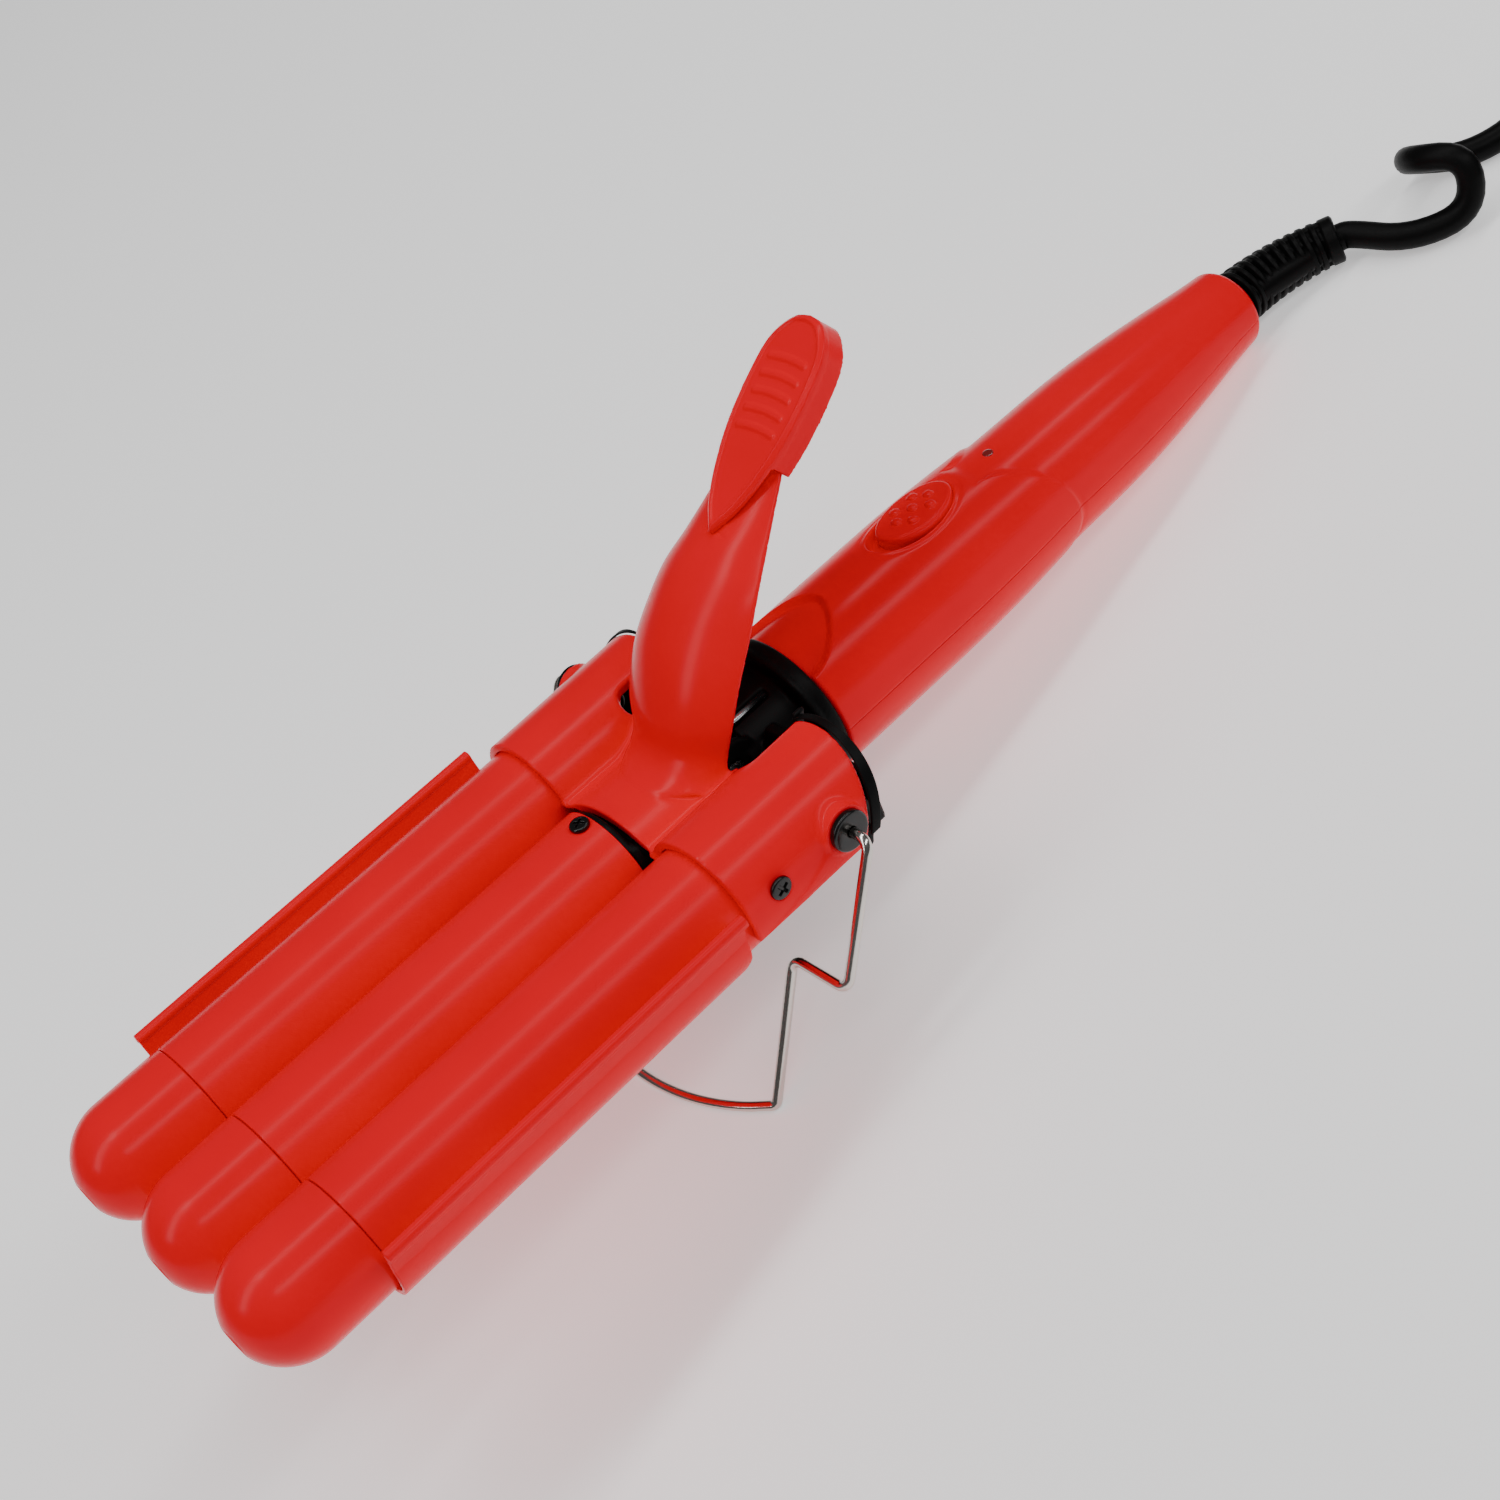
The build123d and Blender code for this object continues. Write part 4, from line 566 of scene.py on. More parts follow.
def clamp_field(p):
    """Sleeves, bosses, bridge and lever blended together, less what swings past the frame and pad."""
    x, y, z, p = spread_sides(p)
    r = np.hypot(y - SPACING, z)
    outer = SLEEVE_R + SLEEVE_FLARE * (x - 89) / 37.0
    rear = (x - REAR_X - REAR_LEAN * z) / LEAN_LENGTH
    sleeve = kept_in(common(r - outer, 89 - x), rear, 0.5)
    arch = np.hypot(y, z + ARCH_DROP)
    bridge = common(np.abs(arch - 21.3) - 1.1, 89.5 - x, x - 106.5, -z, y - 20)
    body = smooth_union(sleeve, rod_field(p, 1, 4.9, 36, 41.9, *HINGE_XZ), 1.2)
    slot = joined(rod_field(p, 2, 3.15, -10, 60, 114.15, 17.85), box_field(p, 114.2, 150, 14.7, 21, -10, 60),
                  box_field(p, 114.2, 150, -1, 20.5, -10, 60))
    body = smooth_union(cut_by(body, slot, 0.6), bridge, 3.0)
    body = smooth_union(body, lever_field(p), 2.4)
    under = np.where(y > SPACING, -3.5 - z, 5.0 - z)
    body = common(body, 12.7 - r, under, 20.2 - arch - np.maximum(0, x - 104) * 3)
    pad_under = (z - (PAD_TIP[1] - 1.6 / cos(PAD_ANGLE))) * cos(PAD_ANGLE) - (x - PAD_TIP[0]) * sin(PAD_ANGLE)
    along_pad = (x - PAD_TIP[0]) * cos(PAD_ANGLE) + (z - PAD_TIP[1]) * sin(PAD_ANGLE)
    body = common(body, np.where(along_pad > 0.4, pad_under, -1))
    hole = rod_field(p, 1, 2.35, 30, 50, *HINGE_XZ)
    spot = joined(rod_field(p, 1, 2.5, 41.0, 50, *SLEEVE_SCREW),
                  rod_field(p, 1, 1.35, 36, 50, *SLEEVE_SCREW))
    return cut_by(cut_by(body, hole, 0.2), spot, 0.2)


add_piece("clamp_cover_moulding", skinned(clamp_field, (87, -43.5, -5), (153.5, 43.5, 54.5), 0.42), "clamp",
          "red_plastic", "clamp_cover")

# ---- thumb pad ----
# A shallow pointed oval cup, pressed onto the lever's end. Its face has a thin raised rim and five low
# ribs for the thumb; behind, its skirt starts with a square step.
PAD_LENGTH = 45.5
PAD_LOW, PAD_STEP = (-4.0, 0.0), 0.2
pad_table = np.array([
    (0, 0), (3, 2.1), (6, 3.9), (12, 6.2), (20, 8.0), (28, 8.6), (36, 8.3), (40, 7.3), (43, 5.3), (44.9, 2.9),
    (PAD_LENGTH, 0)])


def pad_chart():
    """Distance from the pad's outline, less than 0 within it, over the plane of its face."""
    outline = smooth_table(pad_table, np.linspace(0, 1, 400))
    s, y = np.meshgrid(PAD_LOW[0] + PAD_STEP * np.arange(270), PAD_STEP * np.arange(65), indexing="ij")
    distance = np.hypot(s[..., None] - outline[:, 0], y[..., None] - outline[:, 1]).min(-1)
    return distance * np.where((y < np.interp(s, *outline.T)) & (s > 0) & (s < PAD_LENGTH), -1, 1)


from_pad_edge = pad_chart()


def pad_field(p):
    """Plate, skirt, rim and ribs, by the place along the face from its tip (s), across it (y) and out of
    it (n)."""
    dx, dz = p[..., 0] - PAD_TIP[0], p[..., 2] - PAD_TIP[1]
    s = dx * cos(PAD_ANGLE) + dz * sin(PAD_ANGLE)
    n = -dx * sin(PAD_ANGLE) + dz * cos(PAD_ANGLE)
    y = np.abs(p[..., 1])
    side = looked_up(from_pad_edge, PAD_LOW, PAD_STEP, s, y)
    flare = side + 0.06 * n
    plate = kept_in(kept_in(side, n, 0.7), -1.6 - n, 0.3)
    skirt = common(flare, -1.5 - flare, n + 0.5, -6.2 - n, 16.0 - s)
    rim = np.hypot(side + 0.9, n) - 0.32
    body = smooth_union(smooth_union(plate, skirt, 0.5), rim, 0.3)
    nearest = np.clip(np.round((s - 22.0) / 3.6), 0, 4) * 3.6 + 22.0
    rib = np.hypot(s - nearest + 0.018 * y ** 2, np.maximum(0, y - 4.8)) - 0.75
    rib = np.hypot(np.maximum(rib + 0.45, 0), n + 0.15) - 0.44
    return smooth_union(body, rib, 0.35)


add_piece("thumb_pad_cup", skinned(pad_field, (131, -10, 43), (178, 10, 73), 0.35), "clamp", "red_plastic",
          "thumb_pad")

# ---- pivot frame ----
# Heat-resistant black moulding that everything hangs on: the middle barrel's spigot, the plate's
# floor, the neck with its collar and insert, two ears with the pivot screws' threads, and a hoop
# behind each sleeve.
AXIS_Z, FRAME_LOW, FRAME_SIDE = -2.1, -17.4, 36.8
BLACK = (0.004, 0.004, 0.004)
finish("black_plastic", "satin black plastic", BLACK, 0.42, 2600, 0.00004, Specular_IOR_Level=0.08)


def frame_base(p, x, y, z):
    """A tray with bevelled lower sides, hollow, cut back in front for the sleeves and behind."""
    corners = [(FRAME_SIDE, -7.0), (33.2, -10.5), (29.5, -14.0), (25.5, FRAME_LOW)]
    outside = common(y - FRAME_SIDE, FRAME_LOW - z)
    for (y0, z0), (y1, z1) in zip(corners, corners[1:]):
        outside = common(outside, ((y - y0) * (z0 - z1) + (z - z0) * (y1 - y0)) / hypot(y1 - y0, z1 - z0))
    inner = common(outside + 2.3, -z - 30, 110.5 - x, x - 127.8)
    return common(outside, z - 1.0, 108.5 - x, x - 130.0, -inner, -box_field(p, 100, 111, 11, 60, -6.5, 20),
                  -box_field(p, 124, 140, 31, 60, -30, 10))


def frame_field(p):
    """Spigot, floor, tray, ears, cheeks, neck and collar joined; clear of the sleeves; bored through."""
    x, y, z, p = spread_sides(p)
    body = joined(rod_field(p, 0, 11.6, 76, 88, 0, -1),
                  common(rod_field(p, 0, 12.3, 86.7, 96, 0, -1), z - 6.6))
    under_bridge = np.hypot(y, z + ARCH_DROP) - 19.8
    body = common(body, np.where((x > 88.7) & (x < 99) & (z > 0), under_bridge, -9))
    flank = (-(z - FRAME_LOW) * 4 + (y - 25.5) * 2.8) / hypot(4, 2.8)
    plate_floor = common(FRAME_LOW - z, y - 29.5, flank, z + 13.4, 90 - x, x - 109)
    body = joined(body, box_field(p, 90, 132.6, -11, 11, FRAME_LOW, 1.5), plate_floor,
                  frame_base(p, x, y, z))
    r = np.hypot(y - SPACING, z)
    body = common(body, np.where((x > 80) & (x < 104.3), 14.4 - r, -9),
                  np.where((x > 80) & (x < 108.4), 13.4 - r, -9))
    ear = joined(rod_field(p, 1, 3.4, 33.4, FRAME_SIDE, *HINGE_XZ),
                 box_field(p, 111.1, 117.9, 34.4, FRAME_SIDE, 0, 4),
                 rod_field(p, 1, 3.0, 29, 35, *HINGE_XZ), box_field(p, 113.3, 115.7, 29, 35, -9, 4))
    cheek = joined(rod_field(p, 1, 6.6, 8.6, 10.1, *HINGE_XZ), box_field(p, 107.9, 120, 8.6, 10.1, -8, 4))
    groove = np.hypot(np.hypot(y, z - AXIS_Z) - 17.4, x - 134.4) - 0.45
    collar = cut_by(rod_field(p, 0, 16.7, 133.1, 136.5, 0, AXIS_Z) - 0.5, groove, 0.2)
    body = joined(body, ear, cheek, rod_field(p, 0, 13.0, 118, 133.6, 0, AXIS_Z), collar,
                  rod_field(p, 0, 12.3, 133.6, 151, 0, AXIS_Z))
    face = (x - 119.55 - REAR_LEAN * z) / LEAN_LENGTH
    outline = joined(box_field(p, 100, 140, 11, 20.6, -13, 8.5), box_field(p, 100, 140, 34.4, 40.5, -6, -1.6),
                     box_field(p, 100, 140, 19.4, 20.6, 0, 14.5))
    opening = common(r - 15.0, 20.6 - y, -1.6 - z)
    body = joined(body, kept_in(cut_by(outline, opening, 0.2), common(-face, face - 2.4), 0.5))
    bore = common(rod_field(p, 0, 10.8, 120.2, 152, 0, AXIS_Z), -11 - z)
    leg_groove = joined(box_field(p, 117, 130.1, 4, 6, 8.8, 13), box_field(p, 117, 121.5, 4, 6, 6.5, 13))
    return common(body, -bore, -rod_field(p, 0, 10.5, 133, 152, 0, AXIS_Z),
                  -rod_field(p, 1, 5.9, -8.6, 8.6, *HINGE_XZ), -box_field(p, 106.5, 119, -8.6, 8.6, -0.5, 20),
                  -rod_field(p, 0, 4.0, 75, 134, 0, -8), -rod_field(p, 1, 2.0, -12, 12, *HINGE_XZ),
                  -leg_groove)


add_piece("pivot_frame_moulding", skinned(frame_field, (75, -46, -19), (153, 46, 19), 0.6), "waver_body",
          "black_plastic", "pivot_frame")


def smooth_step(t):
    """0 below 0, 1 above 1, and 3t^2 - 2t^3 between."""
    t = np.clip(t, 0, 1)
    return t * t * (3 - 2 * t)


def ringed(points):
    """The faces between rings of points, each ring closed."""
    return points, grid_faces(*points.shape[:2], False, True)


HOOP_IN, HOOP_OUT, HOOP_FROM, HOOP_TO = 14.85, 15.45, radians(-29), radians(96)
hoop_section = eased([(0.1, HOOP_IN), (1.1, HOOP_IN), (1.1, HOOP_OUT), (0.1, HOOP_OUT)], 0.15, 4, closed=True)
turn = np.linspace(HOOP_FROM, HOOP_TO, 120)[:, None]
growing = smooth_step(turn / radians(70))
for side, name, top_width in ((1, "left", 0.45), (-1, "right", 1.4)):
    width = top_width + (2.3 - top_width) * growing
    r = HOOP_IN + (hoop_section[:, 1] - HOOP_IN) * (0.5 + 0.5 * growing)
    y, z = SPACING + r * np.sin(turn), r * np.cos(turn)
    hoop = np.stack([REAR_X + REAR_LEAN * z + hoop_section[:, 0] * width * LEAN_LENGTH, side * y, z], -1)
    ends = hoop[[0, -1]].mean(1, keepdims=True) + np.zeros((2, len(hoop_section), 3))
    add_piece(name + "_hoop", ringed(np.concatenate([ends[:1], hoop, ends[1:]])), "waver_body",
              "black_plastic")

# ---- handle ----
# Two red half shells, joined along the sides by screws from below. The front part is a shade thicker
# and ends in a rounded step that points back along each side; the rear part tapers to the tail. The
# top has a shallow U-shaped hollow behind the collar and an oval recess for the switch.
HANDLE_FRONT, HANDLE_END, STEP_R, STEP_X = 137.3, 279.2, 15.6, 195.4
HANDLE_R, CREST_X, CREST_DROP, RIM_EASE, TAIL_EASE = 17.0, 172, 0.00115, 0.8, 1.8
POCKET_END, POCKET_HALF, POCKET_DEPTH = 153.0, 12.1, 1.75
SWITCH_X, SWITCH_TRAVEL = 181.0, 3.0
SCREW_WELLS = ((145.0, 2.4, 15.0), (222.0, 2.6, 9.0), (248.0, 2.6, 9.0))
rear_table = np.array([
    (150, 16.2), (190, 15.9), (204, 15.25), (214, 14.95), (222, 14.85), (230, 14.65), (238, 14.2),
    (246, 13.5), (254, 12.6), (262, 11.6), (270, 10.5), (277.4, 9.7), (279.2, 9.5)])


def eased_table(x, table, width=5.0):
    """Linear interpolation of a table, averaged over a short window so that it has no corners."""
    offsets = np.linspace(-1, 1, 9)
    weight = 1 - offsets ** 2
    total = sum(w * np.interp(x + width * o, table[:, 0], table[:, 1]) for o, w in zip(offsets, weight))
    return total / weight.sum()


def handle_surface(x, angle):
    """Radius at X and at an angle from the top: the rear's, plus the front's extra thickness before the
    step, less the hollow, the switch's recess, the screws' wells and the rounding of both rims."""
    up, aside = np.cos(angle), np.sin(angle)
    thick = HANDLE_R - CREST_DROP * np.clip(x - CREST_X, 0, None) ** 2
    rear = eased_table(x, rear_table)
    height = thick * up
    end_x = STEP_X + np.sqrt(np.clip(STEP_R ** 2 - height ** 2, 0, None))
    width = 0.9 + 3.4 * np.clip(up, 0, 1) ** 3
    blend = smooth_step((end_x - x) / width + 0.5)
    radius = rear + (thick - rear) * blend
    radius -= 0.12 * (1 - np.clip(up, 0, 1)) * np.exp(-((x - end_x - width) / width) ** 2)
    y = radius * aside
    top = up > 0
    u, v = (x - HANDLE_FRONT) / (POCKET_END - HANDLE_FRONT), np.abs(y) / POCKET_HALF
    inward = 1 - u ** 2 - v ** 1.515
    slope = np.hypot(2 * u / (POCKET_END - HANDLE_FRONT), 1.515 * v ** 0.515 / POCKET_HALF)
    wall = smooth_step(inward / np.maximum(slope, 0.02) / 1.4) * top
    radius = radius - wall * POCKET_DEPTH * (0.8 + 0.2 * np.clip(inward, 0, 1))
    reach = np.hypot((x - SWITCH_X + SWITCH_TRAVEL / 2) / 12.0, y / 6.6)
    recess = smooth_step((1 - reach) * 9.0) * top
    lip = np.exp(-((reach - 1.10) / 0.07) ** 2) * top
    radius = radius - recess * 2.3 - lip * 0.12
    for well_x, well_r, depth in SCREW_WELLS:
        well = smooth_step((well_r + 0.08 - np.hypot(x - well_x, y)) / 0.16) * (up < 0)
        radius = radius + (depth / np.maximum(-up, 0.5) - radius) * well
    rim = np.clip((HANDLE_FRONT + RIM_EASE - x) / RIM_EASE, 0, 1)
    radius = radius - RIM_EASE * (1 - np.sqrt(np.clip(1 - rim ** 2, 0, 1)))
    tail = np.clip((x - (HANDLE_END - TAIL_EASE)) / TAIL_EASE, 0, 1)
    return radius - TAIL_EASE * (1 - np.sqrt(np.clip(1 - tail ** 2, 0, 1)))


def stations(*stretches):
    """X values between the handle's two rims: the stretches' ends with the number of values in each."""
    rims = [(HANDLE_FRONT, HANDLE_FRONT + RIM_EASE, 7), (HANDLE_END - TAIL_EASE, HANDLE_END, 10)]
    return np.unique(np.concatenate([np.linspace(*stretch) for stretch in (*rims, *stretches)]))


inner_wall = np.array([
    (HANDLE_END, 6.2), (273.2, 6.2), (273.2, 8.2), (262, 9.4), (240, 12.2), (215, 12.9), (190, 13.8),
    (156.1, 14.7), (156.0, 12.4), (HANDLE_FRONT, 12.4)])


def half_shell(along, angle):
    """Outside from front to tail, tail face, inside back to the front, and strips that close the edges."""
    rows, columns, outer = len(along) + len(inner_wall), len(angle), len(along)
    inner_x, inner_r = inner_wall.T
    x = np.broadcast_to(np.concatenate([along, inner_x])[:, None], (rows, columns))
    radius = np.concatenate([handle_surface(along[:, None], angle[None, :]),
                             np.broadcast_to(inner_r[:, None], (len(inner_wall), columns))])
    faces = grid_faces(rows, columns, True, False)
    nearest = np.interp(along, inner_x[::-1], np.arange(rows - 1, outer - 1, -1)).round().astype(int)
    for column in (0, columns - 1):
        for i in range(outer - 1):
            ring = [i, i + 1, *range(nearest[i + 1], nearest[i] + 1)]
            faces.append([int(row) * columns + column for row in ring])
    return np.stack([x, radius * np.sin(angle), AXIS_Z + radius * np.cos(angle)], -1), faces


PARTING = 0.0006
top_stations = stations((138.1, 156, 76), (156, 166, 14), (166, 192, 90), (192, 214, 100),
                        (214, HANDLE_END - TAIL_EASE, 70))
top_angle = np.linspace(-pi / 2 + PARTING, pi / 2 - PARTING, 241)
add_piece("handle_top_half", half_shell(top_stations, top_angle), "waver_body", "red_plastic",
          "handle_upper_shell")
bottom_stations = stations((138.1, 142, 6), (142, 148, 32), (148, 192, 26), (192, 214, 70), (214, 219, 6),
                           (219, 225, 32), (225, 245, 14), (245, 251, 32), (251, HANDLE_END - TAIL_EASE, 18))
bottom_angle = np.concatenate([np.linspace(pi / 2 + PARTING, pi - 0.3, 50)[:-1],
                               np.linspace(pi - 0.3, pi + 0.3, 53),
                               np.linspace(pi + 0.3, 3 * pi / 2 - PARTING, 50)[1:]])
add_piece("handle_bottom_half", half_shell(bottom_stations, bottom_angle), "waver_body", "red_plastic",
          "handle_lower_shell")

# ---- slide switch ----
# One oval button of the handle's red plastic, with a crowned top and seven raised dots for the thumb.
# It slides along the recess, on the switch's lever beneath.
SWITCH_TOP = AXIS_Z + HANDLE_R - CREST_DROP * (SWITCH_X - CREST_X) ** 2 + 1.0
BUTTON_LENGTH, BUTTON_WIDTH, DOT_R, DOT_RISE = 20.0, 12.0, 1.2, 0.62
rings = np.concatenate([np.linspace(0, 0.93, 64), [0.955, 0.975, 0.99, 1.0]])[:, None]
angle = np.linspace(0, 2 * pi, 160, endpoint=False)[None, :]
x, y = BUTTON_LENGTH / 2 * rings * np.cos(angle), BUTTON_WIDTH / 2 * rings * np.sin(angle)
crown = 24.0 - np.sqrt(24.0 ** 2 - y ** 2) + 0.004 * x ** 2
edge_drop = 0.6 * (1 - np.sqrt(np.clip(1 - ((rings - 0.9) / 0.1).clip(0, 1) ** 2, 0, 1)))
dots = np.zeros_like(x)
for dot_x, dot_y in [(-2.7, -2.7), (2.7, -2.7), (-2.7, 2.7), (2.7, 2.7), (-4.86, 0), (0, 0), (4.86, 0)]:
    away = np.hypot(x - dot_x, y - dot_y) / DOT_R
    dots = np.maximum(dots, DOT_RISE * np.sqrt(np.clip(1 - away ** 2, 0, 1)))
button = np.stack([SWITCH_X + x, y, SWITCH_TOP - crown - edge_drop + dots], -1)
BUTTON_LOW = SWITCH_TOP - 3.2
skirt_top = button[-1] - (0, 0, 0.5)
skirt_low = button[-1].copy()
skirt_low[:, 2] = BUTTON_LOW
hub = np.tile([SWITCH_X, 0, BUTTON_LOW], (len(skirt_low), 1))
add_piece("slide_button", ringed(np.concatenate([button, [skirt_top, skirt_low, hub]])), "switch",
          "red_plastic", "switch_button")

# ---- strain relief ----
# Soft black sleeve moulded round the lead where it leaves the tail. It bends aside with the lead, and
# slots leave a row of ribs joined by a spine on each side, narrowing to a plain collar.
RELIEF_LENGTH, RELIEF_BEND, RELIEF_LIFT, RELIEF_STRAIGHT, CORD_R = 30.5, 39.0, radians(12.6), 1.5, 3.1
finish("cord_black", "black rubber sheath", BLACK, 0.42, 2400, 0.00006, spread=0.08, Specular_IOR_Level=0.08)
relief_side = np.array([0, -cos(RELIEF_LIFT), sin(RELIEF_LIFT)])


def relief_line(s):
    """Centre line: straight, then an arc towards relief_side; with its direction, both level."""
    s = np.asarray(s, float)
    a = np.clip(s - RELIEF_STRAIGHT, 0, None)[:, None] / RELIEF_BEND
    ahead = np.minimum(s, RELIEF_STRAIGHT)[:, None] + RELIEF_BEND * np.sin(a)
    point = (HANDLE_END, 0, AXIS_Z) + ahead * (1, 0, 0) + RELIEF_BEND * (1 - np.cos(a)) * relief_side
    return point, np.cos(a) * (1, 0, 0) + np.sin(a) * relief_side


COLLAR_FROM = RELIEF_LENGTH - 3.4
RELIEF_ROOT, RELIEF_TIP, RELIEF_CORE = 6.8, 5.5, 4.25
pitch_rib = COLLAR_FROM / 11
s = np.unique(np.concatenate([np.linspace(-6, 0, 8), np.arange(0, COLLAR_FROM, pitch_rib / 14),
                              np.linspace(COLLAR_FROM, RELIEF_LENGTH, 12)]))
centre, ahead = relief_line(s)
second = np.cross(ahead, relief_side)
second /= np.linalg.norm(second, axis=1)[:, None]
first = np.cross(second, ahead)
phi = np.linspace(0, 2 * pi, 96, endpoint=False)
narrowing = (RELIEF_TIP - RELIEF_ROOT) * np.clip(s / COLLAR_FROM, 0, 1)
full = np.where(s < 0, 6.15, RELIEF_ROOT + narrowing)[:, None]
phase = (s % pitch_rib) / pitch_rib
rib = smooth_step(phase / 0.10) * smooth_step((0.66 - phase) / 0.10)
rib = np.where((s > COLLAR_FROM) | (s < 0), 1.0, rib)[:, None]
spine = smooth_step((np.abs(np.sin(phi)) - 0.972) / 0.016)
radius = RELIEF_CORE + (full - RELIEF_CORE) * np.maximum(rib, spine * 0.93)
radius -= 0.8 * (1 - np.sqrt(1 - np.clip((s - (RELIEF_LENGTH - 0.8)) / 0.8, 0, 1)[:, None] ** 2))
round_ring = np.cos(phi)[:, None] * first[:, None] + np.sin(phi)[:, None] * second[:, None]
outside = centre[:, None] + radius[..., None] * round_ring
inside = centre[[-1, 0], None] + (CORD_R + 0.02) * round_ring[[-1, 0]]
add_piece("strain_relief_sleeve", ringed(np.concatenate([outside, inside])), "waver_body", "cord_black",
          "strain_relief")

# ---- mains lead ----
# Black two-core lead, 6.2 mm across and 1.8 m long: out of the strain relief, down to the floor, one
# small loop over itself, then a coil of seven turns and a last bend to the plug.
exit_point, exit_way = relief_line([RELIEF_LENGTH])
cord_exit = tipped(exit_point[0])
toward = tipped(exit_point[0] + exit_way[0] * 2.4)
inside_relief = tipped(relief_line([RELIEF_LENGTH - 6])[0][0])
lead = [(306.6, -25.0, 3.9), (317.6, -34.4, 4.2), (323.2, -32.4, 15.6), (318.4, -19.6, 15.2),
        (326.6, -11.4, 5.0), (332.6, -22.8, 3.2), (346.0, -29.5, 3.2), (362.0, -25.0, 3.4),
        (382.0, -23.0, 4.0)]
coil_x, coil_y, per_turn = 383.0, -67.0, 16
turns = np.arange(1, int(7.125 * per_turn)) / per_turn
wide = np.interp(turns, [0, 4, 4.5, 7.2], [45.0, 24.2, 26.7, 43.4])
level = np.interp(turns, [0, 3.6, 4.3, 6.95, 7.2], [4.0, 4.0, 9.3, 9.3, 14.5])
angle = pi / 2 - 2 * pi * turns
coil = np.stack([coil_x + wide * np.cos(angle), coil_y + wide * np.sin(angle), level], -1)
tail = [(424.8, -62.0, 16.4), (424.2, -79.0, 17.6), (407.2, -96.0, 19.5), (390.0, -96.0, 19.5),
        (375.0, -96.0, 19.5)]
route = np.concatenate([lead, coil, tail]) - (ORIGIN_X, 0, 0)
route = np.concatenate([[inside_relief, cord_exit, toward], route / 1000])
curve = bpy.data.curves.new("mains lead", "CURVE")
curve.dimensions = "3D"
curve.resolution_u = 6
curve.bevel_depth = CORD_R / 1000
curve.bevel_resolution = 8
curve.use_fill_caps = True
line = curve.splines.new("NURBS")
line.points.add(len(route) - 1)
line.points.foreach_set("co", np.column_stack([route, np.ones(len(route))]).ravel())
line.order_u = 3
line.use_endpoint_u = True
curve.materials.append(finishes["cord_black"])
lead_piece = bpy.data.objects.new("mains_lead_sheath", curve)
bpy.context.scene.collection.objects.link(lead_piece)
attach(lead_piece, "waver_body")
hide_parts("mains_cord", "cord_coil")

# ---- plug and tie ----
# Flat two-pin moulded plug with a tapered tail and three grip grooves on each side. Its nickel pins are
# held by a thinner root and have rounded tips. A black strap keeps the coil's turns together.
PLUG = np.array([377.2 - ORIGIN_X, -96.0, 19.52])
PLUG_LENGTH, PLUG_HALF, PLUG_RISE, PIN_LENGTH, PIN_R, PIN_Y = 36.0, 17.5, 6.85, 19.0, 2.0, 9.3
finishes["plug_black"] = finishes["black_plastic"]
finish("plug_metal", "nickel plate", (0.72, 0.68, 0.58), 0.2, 1500, 0.00001, Metallic=1.0)


def on_floor(points):
    """Standing millimetres to metres."""
    return np.asarray(points, float) / 1000


def plug_field(p):
    """A rounded block with grip grooves, blended with a tapered tail and bored for the lead."""
    x, y, z = np.moveaxis(p - PLUG, -1, 0)
    middle = x + PLUG_LENGTH / 2
    corner = np.hypot(np.maximum(np.abs(y) - PLUG_HALF + 6, 0), np.maximum(np.abs(z) - PLUG_RISE + 6, 0)) - 6
    q = np.stack([np.abs(middle) - PLUG_LENGTH / 2, corner], -1) + 1.5
    body = np.linalg.norm(np.maximum(q, 0), axis=-1) - 1.5 + np.minimum(q.max(-1), 0)
    groove = np.hypot(middle + 2 + 4 * np.clip(np.round((middle + 2) / -4), -1, 1),
                      np.maximum(PLUG_HALF - 0.2 - np.abs(y), 0)) - 1.0
    tail = common(np.hypot(y, z) - (6.0 - 0.094 * x), -2 - x, x - 18.0)
    body = smooth_union(cut_by(body, groove, 0.4), tail, 1.5)
    return cut_by(body, common(np.hypot(y, z) - CORD_R - 0.02, 2 - x), 0.2)


plug_piece = add_piece("plug_moulding", skinned(plug_field, PLUG - (38, 19, 8), PLUG + (19.5, 19, 8), 0.6),
                       "waver_body", "plug_black", "plug_body", placed=on_floor)
face = PLUG[0] - PLUG_LENGTH
pin_line = eased([(face - PIN_LENGTH, 0), (face - PIN_LENGTH, PIN_R), (face, PIN_R), (face, 1.6),
                  (face + 6, 1.6), (face + 6, 0)], [0, 1.2, 0, 0, 0, 0], 8)
pins = [add_piece("plug_pin_" + side, turned(pin_line, PLUG[1] + offset, PLUG[2], 48), "waver_body",
                  "plug_metal", *replaced, placed=on_floor)
        for side, offset, replaced in (("left", PIN_Y, ["plug_pins"]), ("right", -PIN_Y, []))]
outer_band, inner_band = [
    eased([(-12.4 - grow, 0.8 - grow), (12.4 + grow, 0.8 - grow), (12.4 + grow, 5.14),
           (9.3 + grow, 12.37 + grow), (-9.3 - grow, 12.37 + grow), (-12.4 - grow, 5.14)],
          1.8 + grow, 6, closed=True) + (35.0, 0)
    for grow in (0.8, 0.0)]
across = np.array([-5.0, -4.8, 4.8, 5.0, 4.8, -4.8])[:, None]
inset = np.array([0.5, 0.0, 0.0, 0.5, 1.0, 1.0])[:, None, None]
radius, rise = np.moveaxis(outer_band + (inner_band - outer_band) * inset, -1, 0)
at = radians(140) + np.arcsin(across / radius)
strap = np.stack([coil_x - ORIGIN_X + radius * np.cos(at), coil_y + radius * np.sin(at), rise], -1)
tie_piece = add_piece("coil_strap", (strap, grid_faces(*strap.shape[:2], True, True)), "waver_body",
                      "black_plastic", "cord_tie", placed=on_floor)

